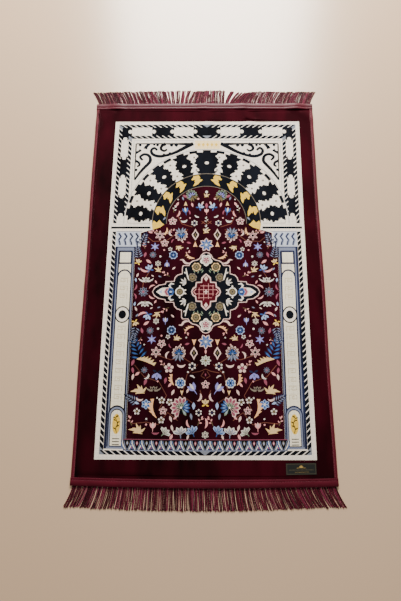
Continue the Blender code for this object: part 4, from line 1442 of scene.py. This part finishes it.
YARNS.update({"bottle": "#080e0d", "brass": "#a88c48", "ash": "#4c4630"})
w, h = LABEL_HALF
for name, inset in (("ash", 1.6), ("bottle", 2.4)):
    on_label(name, rectangle(-w + inset, -h + inset, w - inset, h - inset))
for turn in (-58, -28, 0, 28, 58):
    on_label("brass", shifted(turned(petal(6.2, 1.9), -turn), 0, 2.8))
on_label("brass", line([(-11, 2.2), (0, 2.9), (11, 2.2)], 0.9))
for k in range(-9, 10):
    on_label("ash", shifted([(0, 1.5), (1.1, 0), (0, -1.5), (-1.1, 0)], k * 3.2, -2.2))
    if abs(k) < 6:
        on_label("brass", shifted([(0, 0.8), (0.7, 0), (0, -0.8), (-0.7, 0)], k * 3.2 + 1.6, -7.4))
label_outline = shifted(rectangle(-w, -h, w, h), *LABEL_AT)
patch = woven_sheet("label_patch", label_outline, label_shapes, "bottle", "bottle", (2.5, 9.0),
                    lambda x, y: LABEL_BOTTOM + LABEL_THICK, lambda x, y: LABEL_BOTTOM)
smooth(patch, 30)

# damask weave: smooth fine thread, its ribs drawn 0.7 mm apart against a real 0.15 mm
damask = new_material("damask_label_weave")
label_yarn = add_node(damask, "ShaderNodeAttribute", attribute_name="yarn")
coordinates = add_node(damask, "ShaderNodeTexCoord", output="Object")
ribs = add_node(damask, "ShaderNodeTexWave", {
    "Vector": coordinates, "Scale": RIB_SCALE / (0.7 * MM), "Distortion": 0.5}, "Fac", bands_direction="Y")
rib_shade = add_node(damask, "ShaderNodeMapRange", {"Value": ribs, "To Min": 0.85, "To Max": 1.1})
colour = add_node(damask, "ShaderNodeVectorMath", {0: label_yarn, "Scale": rib_shade}, operation="SCALE")
bump = add_node(damask, "ShaderNodeBump", {"Height": ribs, "Strength": 0.3, "Distance": 0.05 * MM})
surface(damask, colour, bump, Roughness=0.5, Specular_IOR_Level=0.4)
patch.data.materials.append(damask)
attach(patch, "root")
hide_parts("label")

# ================================================================ floor, light and camera
# A plain pale floor with a slight gloss, a broad soft light from beyond the arch end and a weak one overhead.
bpy.ops.object.select_all(action="DESELECT")
bpy.ops.mesh.primitive_plane_add(size=12.0, location=(0, 0, 0))
floor = bpy.context.object
floor.name = "floor"
floor_finish = new_material("pale_oak_laminate")
coordinates = add_node(floor_finish, "ShaderNodeTexCoord", output="Object")
grain = add_node(floor_finish, "ShaderNodeTexNoise", {"Vector": coordinates, "Scale": 1 / (25 * MM)})
bump = add_node(floor_finish, "ShaderNodeBump", {"Height": grain, "Strength": 0.05, "Distance": MM})
surface(floor_finish, "#cfb294", bump, Roughness=0.26, Specular_IOR_Level=0.8)
floor.data.materials.append(floor_finish)


def soft_light(name, place, aim, size, power, colour):
    data = bpy.data.lights.new(name, "AREA")
    data.shape = "RECTANGLE"
    data.size, data.size_y = size
    data.energy = power
    data.color = linear(colour)
    lamp = bpy.data.objects.new(name, data)
    lamp.location = place
    lamp.rotation_euler = (Vector(aim) - Vector(place)).to_track_quat("-Z", "Y").to_euler()
    bpy.context.scene.collection.objects.link(lamp)


soft_light("window", (0.06, 2.6, 1.5), (0.0, 0.1, 0.0), (1.4, 1.6), 272, "#fffaf2")
soft_light("overhead", (0.3, -0.6, 2.6), (0, 0, 0), (2.5, 2.5), 7, "#fff4e6")
world = bpy.data.worlds.new("room")
world.use_nodes = True
glow = world.node_tree.nodes["Background"].inputs
glow["Color"].default_value = (*linear("#fff3e6"), 1.0)
glow["Strength"].default_value = 0.26
bpy.context.scene.world = world

camera_data = bpy.data.cameras.new("camera")
camera_data.sensor_width = 36.0
camera_data.lens = 28.75
camera = bpy.data.objects.new("camera", camera_data)
camera.location = (0.0011, -0.4269, 1.2619)
camera.rotation_euler = (math.radians(15.57), math.radians(0.43), math.radians(0.17))
bpy.context.scene.collection.objects.link(camera)
bpy.context.scene.camera = camera
